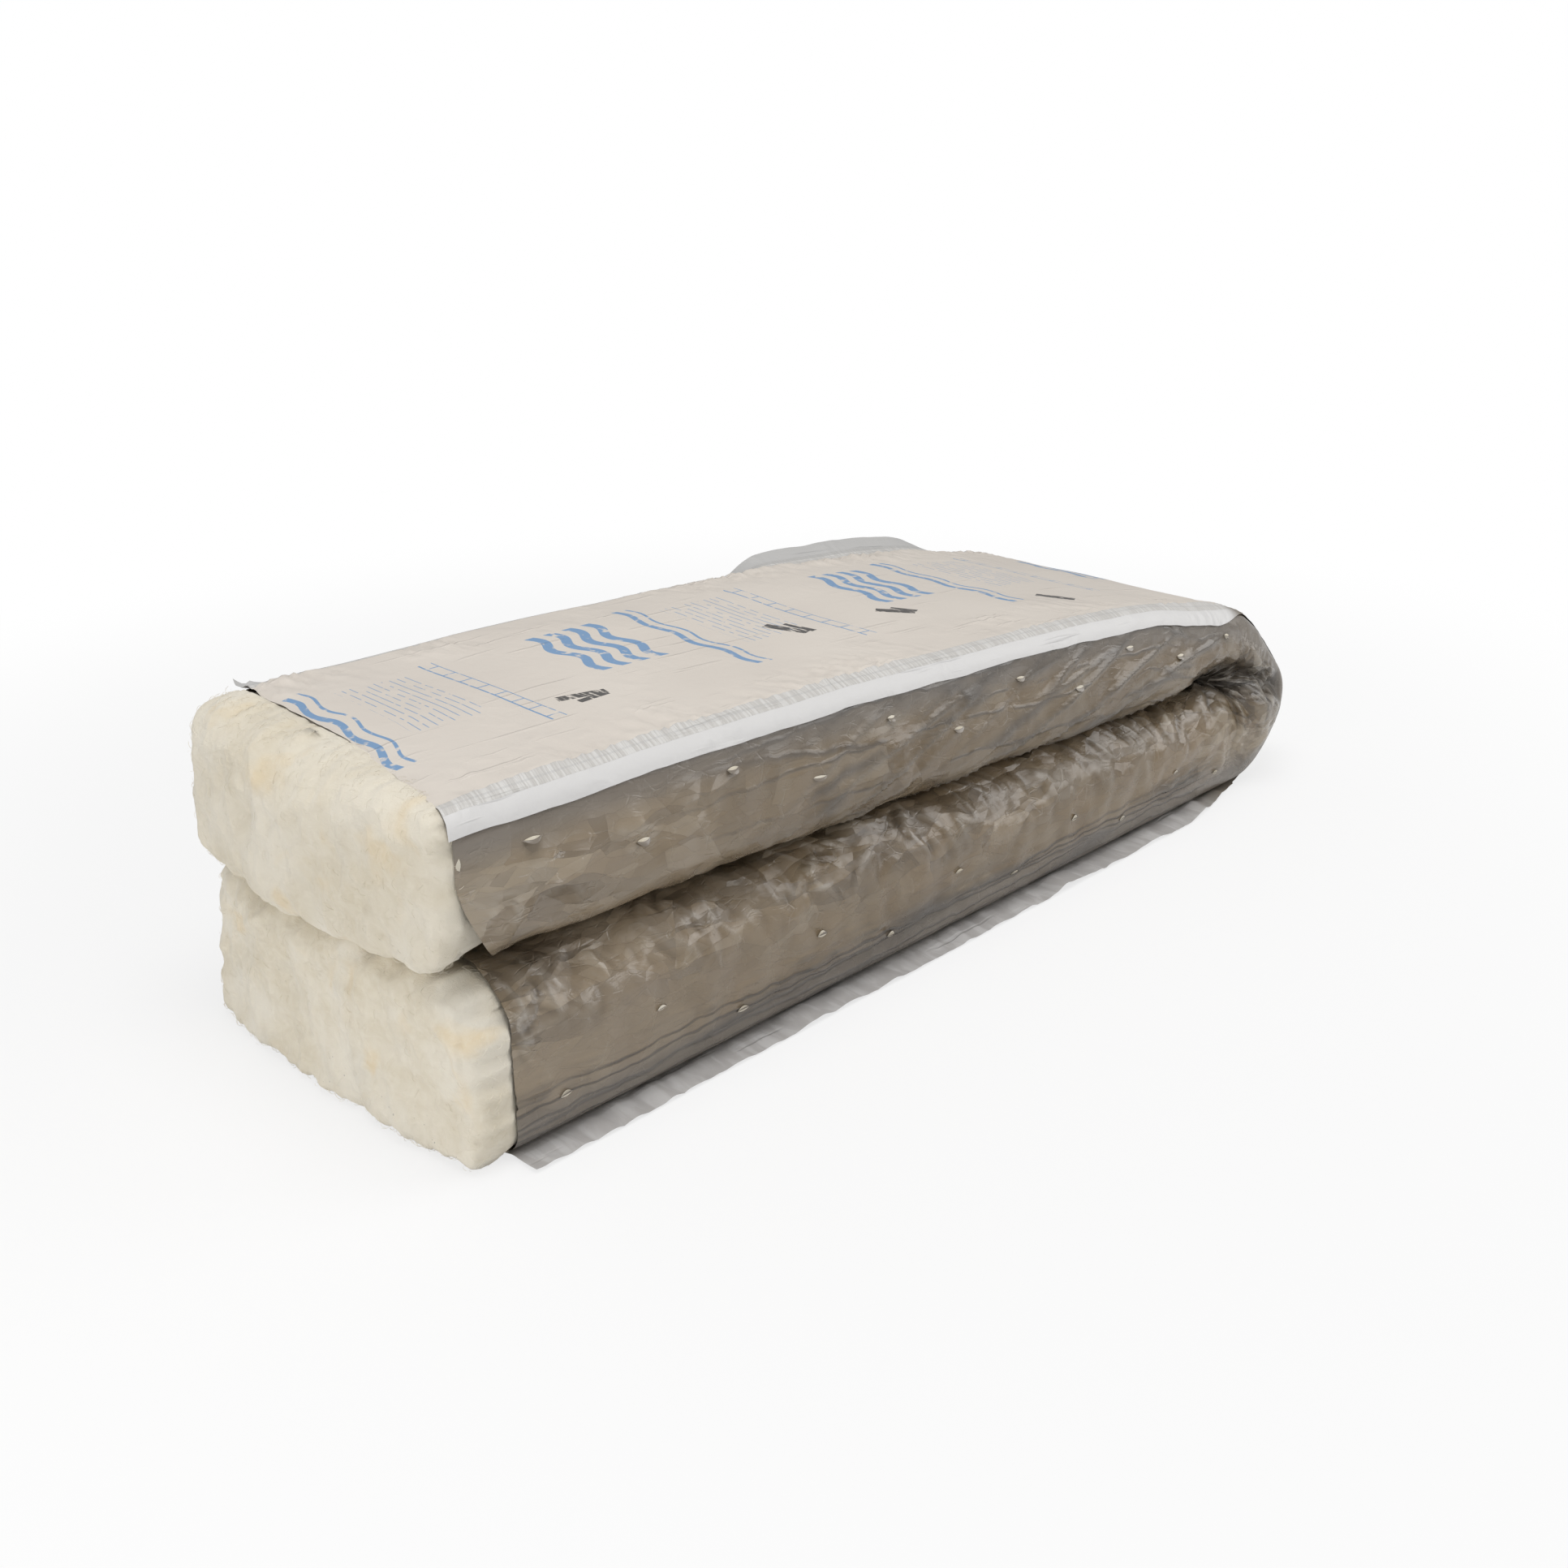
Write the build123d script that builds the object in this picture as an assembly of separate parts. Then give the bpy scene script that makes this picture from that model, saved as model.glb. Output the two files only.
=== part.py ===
"""Encapsulated fiberglass insulation batt, laid down folded double.

One blanket of glass wool is bent back on itself, so that it lies as a lower limb, a fold and an
upper limb. A white facing film covers the broad face that is outside the fold, and goes on past
both long edges as a flange, which lies over the upper limb's round shoulders and spreads on the
floor. A grey wrap film, pierced with rows of short slits that let the air out when the batt is
packed, covers the two long sides and the broad face inside the fold. Both films stop short of
the cut ends, where the bare wool shows.

X runs from the cut ends to the fold, Y across the batt and Z up. The origin is on the floor,
under the middle of the batt. Lengths are millimetres and angles are degrees.
"""
import os
from math import cos, radians, sin, sqrt, tan

from build123d import *

# The whole batt, as it lies folded
batt_width = 381.0          # across, to fill the space between studs at 16 in centres
folded_length = 1145.0      # from the lower limb's film end to the end of the fold
stack_height = 297.0        # floor to the top of the upper limb at the cut ends

# The outline of the stack, seen from the side
top_droop_angle = 5.5       # how far the top has turned down where the fold begins
shoulder_angle = 74.0       # how far it has turned down where the fold's tight foot begins
foot_radius = 80.0          # the tight turn at the foot of the fold, near the floor
outer_edge_radius = 26.0    # round long edges, under the facing

# The slit between the two limbs
slit_height = 160.0         # middle of the slit at the cut ends
slit_drop = 42.0            # how much lower the slit is at the fold
fold_thickness = 118.0      # wool between the end of the slit and the end of the fold
limb_gap = 3.0              # open space between the two faces of wrap film
slit_edge_share = 0.45      # soft long edges on either side of the slit, as a share of the thinner limb

# The cut ends
upper_lead = 12.0           # the upper limb's end stands this far ahead of the lower limb's
wool_overhang = 24.0        # bare wool past the end of the films
cut_edge_radius = 14.0      # soft edge round each cut face

# The films
film_thickness = 0.6
film_clearance = 0.3        # between a film and what it lies on
wrap_inset = 2.0            # how far inside the facing the wrap film's long edges end
flange_turn = 68.0          # how far round the upper limb's edge the flange is bent
flange_bends = 3            # creases that carry it there
flange_lip = 3.0            # facing film past the last crease's contact
flange_stations = 7         # sections along the fold, where the flange turns out level

# The wrap film's breather slits, in staggered rows along each side of each limb
perforation_length = 10.0
perforation_height = 2.4
perforation_pitch = 190.0
perforation_margin = 46.0   # first slit from the film's end
perforation_row_shares = (0.2, 0.7)   # down the flat of the side, from the facing

cut_overrun = 60.0          # how far a cutting block reaches past what it cuts

# Places worked out from the sizes above
wrap_depth = film_clearance + film_thickness
facing_seat = wrap_depth + film_clearance
facing_depth = facing_seat + film_thickness
wool_foot = facing_depth
lower_film_end = 0.0
upper_film_end = lower_film_end - upper_lead
lower_wool_end = lower_film_end - wool_overhang
upper_wool_end = upper_film_end - wool_overhang
fold_end = lower_film_end + folded_length
wool_height = stack_height - 2 * facing_depth
wool_top = wool_foot + wool_height
wool_slit = limb_gap + 2 * wrap_depth
slit_end = fold_end - facing_depth - fold_thickness
middle = (upper_wool_end + fold_end) / 2

# The outline's free sizes: the top's length and radius, and the shoulder's radius, that close it on the floor
droop = radians(top_droop_angle)
shoulder = radians(shoulder_angle)
outline_reach = fold_end - facing_depth - upper_film_end - foot_radius * (1 - sin(shoulder))
shoulder_drop = wool_height - foot_radius * (1 + cos(shoulder)) - outline_reach * tan(droop / 2)
shoulder_drop_share = cos(droop) - cos(shoulder) - (sin(shoulder) - sin(droop)) * tan(droop / 2)
shoulder_radius = shoulder_drop / shoulder_drop_share
top_run = outline_reach - shoulder_radius * (sin(shoulder) - sin(droop))
top_radius = top_run / sin(droop)

# The thinner limb, at the cut ends or at the end of the slit, which the soft edges at the slit follow
shoulder_centre_x = upper_film_end + top_run - shoulder_radius * sin(droop)
shoulder_centre_z = wool_top - top_radius * (1 - cos(droop)) - shoulder_radius * cos(droop)
top_over_slit_end = shoulder_centre_z + sqrt(shoulder_radius ** 2 - (slit_end - shoulder_centre_x) ** 2)
slit_end_height = slit_height - slit_drop
thinner_limb = min(wool_top - slit_height, top_over_slit_end - slit_end_height, slit_end_height - wool_foot)
slit_edge_radius = slit_edge_share * thinner_limb


def outline():
    """The wool's side outline under the facing: top, shoulder and foot of the fold, and floor."""
    top = JernArc((upper_film_end, wool_top), (1, 0), top_radius, -top_droop_angle)
    shoulder_arc = JernArc(top @ 1, top % 1, shoulder_radius, top_droop_angle - shoulder_angle)
    foot = JernArc(shoulder_arc @ 1, shoulder_arc % 1, foot_radius, shoulder_angle - 180)
    floor = Line(foot @ 1, (lower_film_end, wool_foot))
    return top, shoulder_arc, foot, floor


def slit_middle(x):
    """Height of the middle of the slit at a place along the batt."""
    return slit_height - slit_drop * (x - upper_wool_end) / (slit_end - upper_wool_end)


def slit_block(grow, half_width):
    """A block that cuts the slit, narrowed by grow on each face."""
    half_gap = wool_slit / 2 - grow
    start = upper_wool_end - 2 * cut_overrun
    tip = slit_end - wool_slit / 2
    line = Line((start, slit_middle(start)), (tip, slit_middle(tip)))
    across = (line % 1).rotate(Axis.Z, 90) * half_gap
    upper = Line(line @ 0 + across, line @ 1 + across)
    lower = Line(line @ 1 - across, line @ 0 - across)
    turn = TangentArc(upper @ 1, lower @ 0, tangent=upper % 1)
    face = make_face([upper, turn, lower, Line(lower @ 1, upper @ 0)])
    return extrude(Plane.XZ * face, half_width + cut_overrun, both=True)


def side_face(grow):
    """The stack's side, from the outline moved out by grow to a straight front past the cut ends."""
    top, shoulder_arc, foot, floor = outline()
    start = upper_wool_end - cut_overrun
    lead = Line((start, wool_top), top @ 0)
    tail = Line(floor @ 1, (start, wool_foot))
    front = Line(tail @ 1, lead @ 0)
    face = make_face([lead, top, shoulder_arc, foot, floor, tail, front])
    return offset(face, grow, kind=Kind.INTERSECTION) if grow else face


def stack(grow):
    """The folded block, with its slit narrowed and its other faces moved out by grow."""
    half_width = batt_width / 2 + grow
    whole = extrude(Plane.XZ * side_face(grow), half_width, both=True)
    sides = whole.faces().filter_by(Axis.Y)
    outer_edges = sides.edges().filter_by(Axis.Z, reverse=True)
    whole = fillet(outer_edges, outer_edge_radius + grow)
    slit = slit_block(grow, half_width)
    limbs = whole - slit
    rims = new_edges(whole, slit, combined=limbs).group_by(Axis.Y)
    return fillet(rims[0] + rims[-1], slit_edge_radius + grow)


def ends_block(upper_end, lower_end):
    """What lies ahead of the two limbs' ends: a block for each limb, parted along the slit."""
    start = upper_wool_end - 2 * cut_overrun
    blocks = []
    for end, limit in ((upper_end, stack_height + cut_overrun), (lower_end, -cut_overrun)):
        face = make_face(Polyline(
            (start, slit_middle(start)), (end, slit_middle(end)), (end, limit), (start, limit), close=True))
        blocks.append(extrude(Plane.XZ * face, batt_width / 2 + cut_overrun, both=True))
    return blocks


def glass_wool():
    """The blanket: the stack with each limb's cut face at its own place, softened round its edge."""
    wool = stack(0) - ends_block(upper_wool_end, lower_wool_end)
    cut_faces = wool.faces().filter_by(Axis.X).filter_by(lambda face: face.center().X < lower_film_end)
    return fillet(cut_faces.edges(), cut_edge_radius)


def top_height(x):
    """Height of the wool's top at a place along the upper limb, ahead of the fold."""
    return wool_top - top_radius + sqrt(top_radius ** 2 - (x - upper_film_end) ** 2)


def perforations():
    """Rhombic blocks for the slits in the wrap film's sides, in rows that follow each limb."""
    half_length = perforation_length / 2
    half_height = perforation_height / 2
    rhombus = make_face(Polyline(
        (-half_length, 0), (0, half_height), (half_length, 0), (0, -half_height), close=True))
    blocks = []
    for row, share in enumerate(perforation_row_shares):
        first = lower_film_end + perforation_margin + row * perforation_pitch / 2
        for number in range(int((slit_end - first) / perforation_pitch) + 1):
            x = first + number * perforation_pitch
            heights = []
            for facing, inward in ((wool_foot, 1), (top_height(x), -1)):
                limb = abs(slit_middle(x) - facing)
                flat = limb - wool_slit / 2 - slit_edge_radius - outer_edge_radius
                heights.append(facing + inward * (outer_edge_radius + share * flat))
            for z in heights:
                block = extrude(rhombus, wrap_depth, both=True)
                for side in (-1, 1):
                    y = side * (batt_width / 2 + wrap_depth)
                    blocks.append(Pos(x, y, z) * Rot(X=90) * block)
    return blocks


def wrap_film():
    """The grey film: a skin on the long sides and the slit's faces, pierced and open at the cut ends."""
    skin = stack(wrap_depth) - stack(film_clearance)
    below_seal = extrude(Plane.XZ * side_face(-wrap_inset), batt_width / 2 + cut_overrun, both=True)
    return (skin & below_seal) - ends_block(upper_film_end, lower_film_end) - perforations()


def facing_section(path, share, hang):
    """A cut across the facing where the path passes: a level band whose two flanges are bent down by an angle.

    Each flange is a strip of creases and a lip. Hung by its full turn, the creases lie round the edge of
    the wrap film, and hung by none, the flange goes on level.
    """
    step = radians(hang) / flange_bends
    band = outer_edge_radius + facing_seat
    crease = 2 * band * tan(radians(flange_turn) / flange_bends / 2)
    lengths = [crease] * (flange_bends - 1) + [crease / 2 + flange_lip]
    side = [(batt_width / 2 - outer_edge_radius + crease / 2, facing_seat)]
    for number, length in enumerate(lengths, 1):
        y, z = side[-1]
        side.append((y + length * cos(number * step), z - length * sin(number * step)))
    over = []
    for number, (y, z) in enumerate(side):
        turn = min(number + 0.5, flange_bends) * step if number else step / 2
        spread = film_thickness / (cos(step / 2) if number < flange_bends else 1)
        over.append((y + spread * sin(turn), z + spread * cos(turn)))
    half = side + over[::-1]
    ring = half + [(-y, z) for y, z in half[::-1]]
    plane = Plane(Plane.XZ.from_local_coords(path @ share), x_dir=(0, 1, 0),
                  z_dir=Plane.XZ.from_local_coords(path % share) - Plane.XZ.origin)
    return plane * make_face(Polyline(*ring, close=True))


def facing_film():
    """The white film: it lies over the top, round the fold and under the lower limb."""
    top, shoulder_arc, foot, floor = outline()
    over_top = sweep(facing_section(top, 0, flange_turn), path=Plane.XZ * top)
    shares = [number / (flange_stations - 1) for number in range(flange_stations)]
    turning = loft([
        facing_section(shoulder_arc, share, flange_turn * (1 - share) ** 2 * (1 + 2 * share))
        for share in shares
    ])
    round_foot = sweep(facing_section(foot, 0, 0), path=Plane.XZ * foot)
    on_floor = sweep(facing_section(floor, 0, 0), path=Plane.XZ * floor)
    return over_top + turning + round_foot + on_floor


pieces = {"glass_wool": glass_wool(), "wrap_film": wrap_film(), "facing_film": facing_film()}
os.makedirs("parts", exist_ok=True)
for name, piece in pieces.items():
    export_step(Pos(-middle, 0, 0) * piece, f"parts/{name}.step")
    print(name, "solids", len(piece.solids()), "valid", piece.is_valid, "volume", round(piece.volume))
top, shoulder_arc, foot, floor = outline()
print("facing, end to end:", round(top.length + shoulder_arc.length + foot.length + floor.length))
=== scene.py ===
import math

import bmesh
import bpy
import numpy as np
from mathutils import Matrix, Vector
from mathutils.bvhtree import BVHTree
from mathutils.geometry import delaunay_2d_cdt


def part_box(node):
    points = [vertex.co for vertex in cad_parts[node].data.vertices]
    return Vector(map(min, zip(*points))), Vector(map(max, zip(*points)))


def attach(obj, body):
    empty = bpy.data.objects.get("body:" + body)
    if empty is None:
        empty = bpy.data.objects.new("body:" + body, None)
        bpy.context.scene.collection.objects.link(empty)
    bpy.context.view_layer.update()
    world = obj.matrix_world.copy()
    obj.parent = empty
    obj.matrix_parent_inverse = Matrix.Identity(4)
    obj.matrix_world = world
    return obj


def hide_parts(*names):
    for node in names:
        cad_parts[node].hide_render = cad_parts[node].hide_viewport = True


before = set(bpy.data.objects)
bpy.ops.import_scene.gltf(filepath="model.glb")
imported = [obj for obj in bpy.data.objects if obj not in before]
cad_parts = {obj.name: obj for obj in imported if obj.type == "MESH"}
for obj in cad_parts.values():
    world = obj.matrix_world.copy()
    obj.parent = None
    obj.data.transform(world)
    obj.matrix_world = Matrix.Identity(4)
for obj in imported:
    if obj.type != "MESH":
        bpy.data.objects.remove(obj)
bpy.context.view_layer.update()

# Glass wool blanket
# One length of spun glass fibre, held by a cream binder and bent back on itself into an upper limb,
# a fold and a lower limb. It was sawn across at both ends, and bulges there past the films.
wool_low, wool_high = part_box("glass_wool")
facing_low, facing_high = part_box("facing_film")
half_width = wool_high[1]
films_depth = facing_high[2] - wool_high[2]
wool_foot = wool_low[2]
wool_top = wool_high[2]
wool_start = wool_low[0]
film_start = facing_low[0]
fold_end = facing_high[0] - films_depth
lower_lag = 0.012               # the lower limb's end is this far behind the upper limb's
droop = math.radians(5.5)       # how far the top has turned down where the shoulder starts
shoulder = math.radians(74)     # how far the outline has turned where the foot of the fold starts
foot_radius = 0.080
outer_round = 0.026             # long edges under the facing
slit_round = 0.0523             # long edges at the slit between the limbs
slit_half = 0.0024
slit_front_z = 0.160
slit_drop = 0.030
fold_depth = 0.118              # wool between the slit's end and the end of the fold
shoulder_sag = 0.015
nose_swell = 0.020
line_step = 0.0005
top_turn = -1.2                 # the outline belongs to the upper limb until it has turned this far
wool_clear = 0.0006             # wool, film and fibres keep a little off the floor
fibre_clear = 0.0004
fibres_per_square_metre = 26000.0
fibre_half = 0.00014

reach = fold_end - film_start - foot_radius * (1 - math.sin(shoulder))
drop = wool_top - wool_foot - foot_radius * (1 + math.cos(shoulder)) - reach * math.tan(droop / 2)
shoulder_radius = drop / (math.cos(droop) - math.cos(shoulder)
                          - (math.sin(shoulder) - math.sin(droop)) * math.tan(droop / 2))
top_radius = (reach - shoulder_radius * (math.sin(shoulder) - math.sin(droop))) / math.sin(droop)
tip_x = fold_end - fold_depth
upper_run = tip_x - wool_start
lower_run = upper_run - lower_lag


def ramp(value, start, length):
    """Share from 0 to 1 of a value on its way along a length from a start."""
    return np.clip((value - start) / length, 0, 1)


def hump(value, middle, width, power=2):
    """1 at the middle, falling to 0 on both sides. A power of 4 gives it a flat top."""
    return np.exp(-((value - middle) / width) ** power)


def joined(*parts):
    """Places from their x, y and z, each a grid or one value for all."""
    return np.stack(np.broadcast_arrays(*parts), axis=-1)


def slit_z(x):
    """Height of the middle of the slit."""
    return slit_front_z - slit_drop * (x - wool_start) / (tip_x - wool_start)


# The outline that the facing follows: top, shoulder, foot and floor, as a fine line with its heading.
# The fold is squeezed, so its shoulder sags and its nose stands out.
bends = np.cumsum([0.0, top_radius * droop, shoulder_radius * (shoulder - droop),
                   foot_radius * (math.pi - shoulder)])
line_p = np.arange(0.0, bends[-1] + fold_end - foot_radius - film_start - lower_lag, line_step)
line_turn = -np.interp(line_p, bends, [0.0, droop, shoulder, math.pi])
heading = (line_turn[1:] + line_turn[:-1]) / 2
line_x = film_start + np.concatenate([[0.0], np.cumsum(np.cos(heading) * line_step)])
line_z = wool_top + np.concatenate([[0.0], np.cumsum(np.sin(heading) * line_step)])
squeeze = nose_swell * hump(line_p, bends[2] + 0.01, 0.05)
squeeze -= shoulder_sag * hump(line_p, bends[1] + 0.02, 0.10)
line_x = line_x - squeeze * np.sin(line_turn)
line_z = line_z + squeeze * np.cos(line_turn)
round_fold = line_x > tip_x - 0.0004
fold_angle = np.arctan2(line_z - slit_z(tip_x), line_x - tip_x)[round_fold]
fold_reach = np.hypot(line_z - slit_z(tip_x), line_x - tip_x)[round_fold]
fold_run = line_step * np.count_nonzero(round_fold)
lower_from = upper_run + fold_run
batt_run = upper_run + fold_run + lower_run


def ribs(s):
    """Where a cut across the batt starts on the slit, which way it goes, and how deep the wool is there."""
    on_upper = s < upper_run
    on_lower = s > lower_from
    angle = math.pi / 2 - math.pi * ramp(s, upper_run, fold_run)
    x = np.where(on_upper, wool_start + s, np.where(on_lower, tip_x - (s - upper_run - fold_run), tip_x))
    top = line_turn > top_turn
    over = np.interp(x, line_x[top], line_z[top]) - slit_z(x)
    depth = np.where(on_upper, over, slit_z(x) - wool_foot)
    depth = np.where(on_upper | on_lower, depth, np.interp(-angle, -fold_angle, fold_reach))
    return x, slit_z(x), np.cos(angle), np.sin(angle), depth


def depth_at(s):
    """Depth of the wool from the slit to the outline."""
    return ribs(np.asarray(s))[4]


def lay(s, y, h):
    """Places in the folded batt, from the length along it, the way across and the height off the slit."""
    x, z, way_x, way_z, _ = ribs(s)
    return joined(x + h * way_x, y, z + h * way_z)


def width_at(s):
    """Half the width of the batt: the upper limb is pulled in a little."""
    stations = [0, 0.8 * upper_run, upper_run, lower_from]
    return half_width * np.interp(s, stations, [0.962, 0.972, 0.985, 1.0])


def soft_noise(place, seed):
    """Smooth random values of about -1 to 1 at places x, y, z, with lumps one unit across."""
    scatter_x, scatter_y, scatter_z, scatter_seed = 73856093, 19349663, 83492791, 2654435761
    cell = np.floor(place).astype(np.int64)
    inside = place - cell
    ease = inside ** 3 * (inside * (inside * 6 - 15) + 10)
    total = np.zeros(place.shape[:-1])
    for corner in np.ndindex(2, 2, 2):
        step = np.array(corner)
        at = cell + step
        code = (at[..., 0] * scatter_x) ^ (at[..., 1] * scatter_y) ^ (at[..., 2] * scatter_z)
        code = code ^ (seed * scatter_seed)
        code = (code ^ (code >> 13)) * 1274126177 & 0xffffffff
        code = code ^ (code >> 16)
        slope = np.stack([(code >> shift & 1023) / 511.5 - 1 for shift in (0, 10, 20)], axis=-1)
        weight = np.prod(np.where(step, ease, 1 - ease), axis=-1)
        total += weight * ((inside - step) * slope).sum(axis=-1)
    return total * 1.6


def lumps(place, size, seed, layers=3):
    """Layered soft noise whose largest lumps are about size across."""
    levels = [0.5 ** layer for layer in range(layers)]
    noise = [level * soft_noise(place / size / level, seed + layer) for layer, level in enumerate(levels)]
    return sum(noise) / sum(levels)


def rounded(u, v, wide, deep, trim=0.0):
    """Across and off the slit in a cut with round corners, from shares -1 to 1 across and 0 to 1 outwards."""
    half = (deep - slit_half) / 2 - trim
    wide = wide - trim
    y = u * wide
    off = (2 * v - 1) * half
    corner = np.where(v > 0.5, outer_round, slit_round)
    a = ramp(np.abs(y), wide - corner, corner)
    c = ramp(np.abs(off), half - corner, corner)
    in_corner = (a > 0) & (c > 0)
    y = np.where(in_corner, np.sign(y) * (wide - corner + corner * a * np.sqrt(1 - c * c / 2)), y)
    off = np.where(in_corner, np.sign(off) * (half - corner + corner * c * np.sqrt(1 - a * a / 2)), off)
    return y, slit_half + trim + half + off


def film_lead(s, y, t=0.0):
    """How far the upper limb's cut film end strays ahead of or behind its place."""
    ease = (1 - ramp(s, 0, 0.32)) ** 2
    low = ramp(t, 0.055, 0.075) * ramp(-y, 0, 0.12)
    return ease * (0.0155 + 0.055 * y + 0.145 * np.minimum(y, 0) + 0.036 * low ** 1.5)


def numbered(grid, first=0):
    """The numbers of a grid's points, counted from the first."""
    return first + np.arange(grid[..., 0].size).reshape(grid.shape[:2])


def grid_faces(number):
    """Four-sided faces between the points of a grid."""
    corners = [number[:-1, :-1], number[1:, :-1], number[1:, 1:], number[:-1, 1:]]
    return np.stack(corners, axis=-1).reshape(-1, 4).tolist()


def finished_mesh(name, places, faces, material, shares=None, uv=None):
    """A smooth mesh object from places and faces, with named values on its points and a map in metres."""
    mesh = bpy.data.meshes.new(name)
    mesh.from_pydata(places.tolist(), [], faces)
    for key, values in (shares or {}).items():
        layer = mesh.attributes.new(key, "FLOAT", "POINT")
        layer.data.foreach_set("value", np.asarray(values, dtype=np.float32))
    if uv is not None:
        corners = np.empty(len(mesh.loops), dtype=np.int32)
        mesh.loops.foreach_get("vertex_index", corners)
        mesh.uv_layers.new(name="metres").data.foreach_set("uv", uv[corners].astype(np.float32).ravel())
    mesh.polygons.foreach_set("use_smooth", np.ones(len(mesh.polygons), dtype=bool))
    mesh.materials.append(material)
    made = bpy.data.objects.new(name, mesh)
    bpy.context.scene.collection.objects.link(made)
    return made


class Wiring:
    """Short words for building the nodes of one tree."""

    def __init__(self, tree):
        self.tree = tree

    def fill(self, node, inputs):
        """Sets a node's inputs to values, or wires them to outputs of other nodes."""
        for key, value in dict(inputs).items():
            if isinstance(value, bpy.types.NodeSocket):
                self.tree.links.new(value, node.inputs[key])
            else:
                node.inputs[key].default_value = value
        return node

    def node(self, kind, inputs=(), **settings):
        """A node with its settings and inputs."""
        made = self.tree.nodes.new(kind)
        for key, value in settings.items():
            setattr(made, key, value)
        return self.fill(made, inputs)

    def sums(self, operation, first, second=0.0):
        """One sum of two values."""
        return self.node("ShaderNodeMath", {0: first, 1: second}, operation=operation).outputs[0]

    def times(self, total, *others):
        """The product of some values."""
        for other in others:
            total = self.sums("MULTIPLY", total, other)
        return total

    def plus(self, first, second):
        """The sum of two values."""
        return self.sums("ADD", first, second)

    def most(self, total, *others):
        """The largest of some values."""
        for other in others:
            total = self.sums("MAXIMUM", total, other)
        return total

    def gap(self, value, middle=0.0):
        """How far a value is from a middle."""
        return self.sums("ABSOLUTE", self.sums("SUBTRACT", value, middle))

    def within(self, value, low, high):
        """1 where a value is between two limits, else 0."""
        return self.times(self.sums("GREATER_THAN", value, low), self.sums("LESS_THAN", value, high))

    def between(self, value, low, high):
        """Share from 0 to 1 of a value between two limits, eased."""
        inputs = {0: value, 1: low, 2: high}
        return self.node("ShaderNodeMapRange", inputs, interpolation_type="SMOOTHSTEP").outputs[0]

    def spread(self, value, low, high, first, last):
        """A value between two limits, spread evenly between two others."""
        return self.node("ShaderNodeMapRange", {0: value, 1: low, 2: high, 3: first, 4: last}).outputs[0]

    def vector(self, operation, *values):
        """The outputs of one sum of vectors."""
        return self.node("ShaderNodeVectorMath", dict(enumerate(values)), operation=operation).outputs

    def parts(self, place):
        """The x, y and z of a place."""
        return self.node("ShaderNodeSeparateXYZ", {0: place}).outputs

    def mapped(self, place, turn, scale):
        """A place turned and scaled."""
        inputs = {"Vector": place, "Rotation": turn, "Scale": scale}
        return self.node("ShaderNodeMapping", inputs).outputs[0]

    def noise(self, place, scale, detail, **more):
        """The outputs of a noise texture."""
        inputs = {"Vector": place, "Scale": scale, "Detail": detail, **more}
        return self.node("ShaderNodeTexNoise", inputs).outputs

    def cells(self, place, scale, feature):
        """The outputs of a flat texture of random cells."""
        inputs = {"Vector": place, "Scale": scale}
        return self.node("ShaderNodeTexVoronoi", inputs, feature=feature, voronoi_dimensions="2D").outputs

    def net(self, place, scale, width):
        """Lines of a width between random cells: 1 in their middle, 0 outside."""
        distance = self.cells(place, scale, "DISTANCE_TO_EDGE")["Distance"]
        return self.sums("SUBTRACT", 1.0, self.between(distance, 0.0, width))

    def blend(self, share, first, second):
        """Mixes two colours by a share. A colour is an output, or red, green and blue."""
        first, second = [(*colour, 1) if isinstance(colour, tuple) else colour for colour in (first, second)]
        return self.node("ShaderNodeMix", {0: share, 6: first, 7: second}, data_type="RGBA").outputs[2]

    def tint(self, colour, other, share, amount):
        """A colour mixed towards another by a share of an amount."""
        return self.blend(self.times(share, amount), colour, other)

    def bump(self, height, strength, distance, **more):
        """A normal that follows a height."""
        inputs = {"Height": height, "Strength": strength, "Distance": distance, **more}
        return self.node("ShaderNodeBump", inputs).outputs[0]


def new_finish(name):
    """A new material, the wiring of its nodes and its skin."""
    material = bpy.data.materials.new(name)
    material.use_nodes = True
    return material, Wiring(material.node_tree), material.node_tree.nodes["Principled BSDF"]


def new_group(name, kind, inputs, outputs):
    """The wiring of a new node group, whose inputs and outputs are given as names and kinds of value."""
    tree = bpy.data.node_groups.new(name, kind)
    for way, sockets in (("INPUT", inputs), ("OUTPUT", outputs)):
        for label, value in sockets.items():
            tree.interface.new_socket(label, in_out=way, socket_type="NodeSocket" + value)
    return Wiring(tree)


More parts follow.
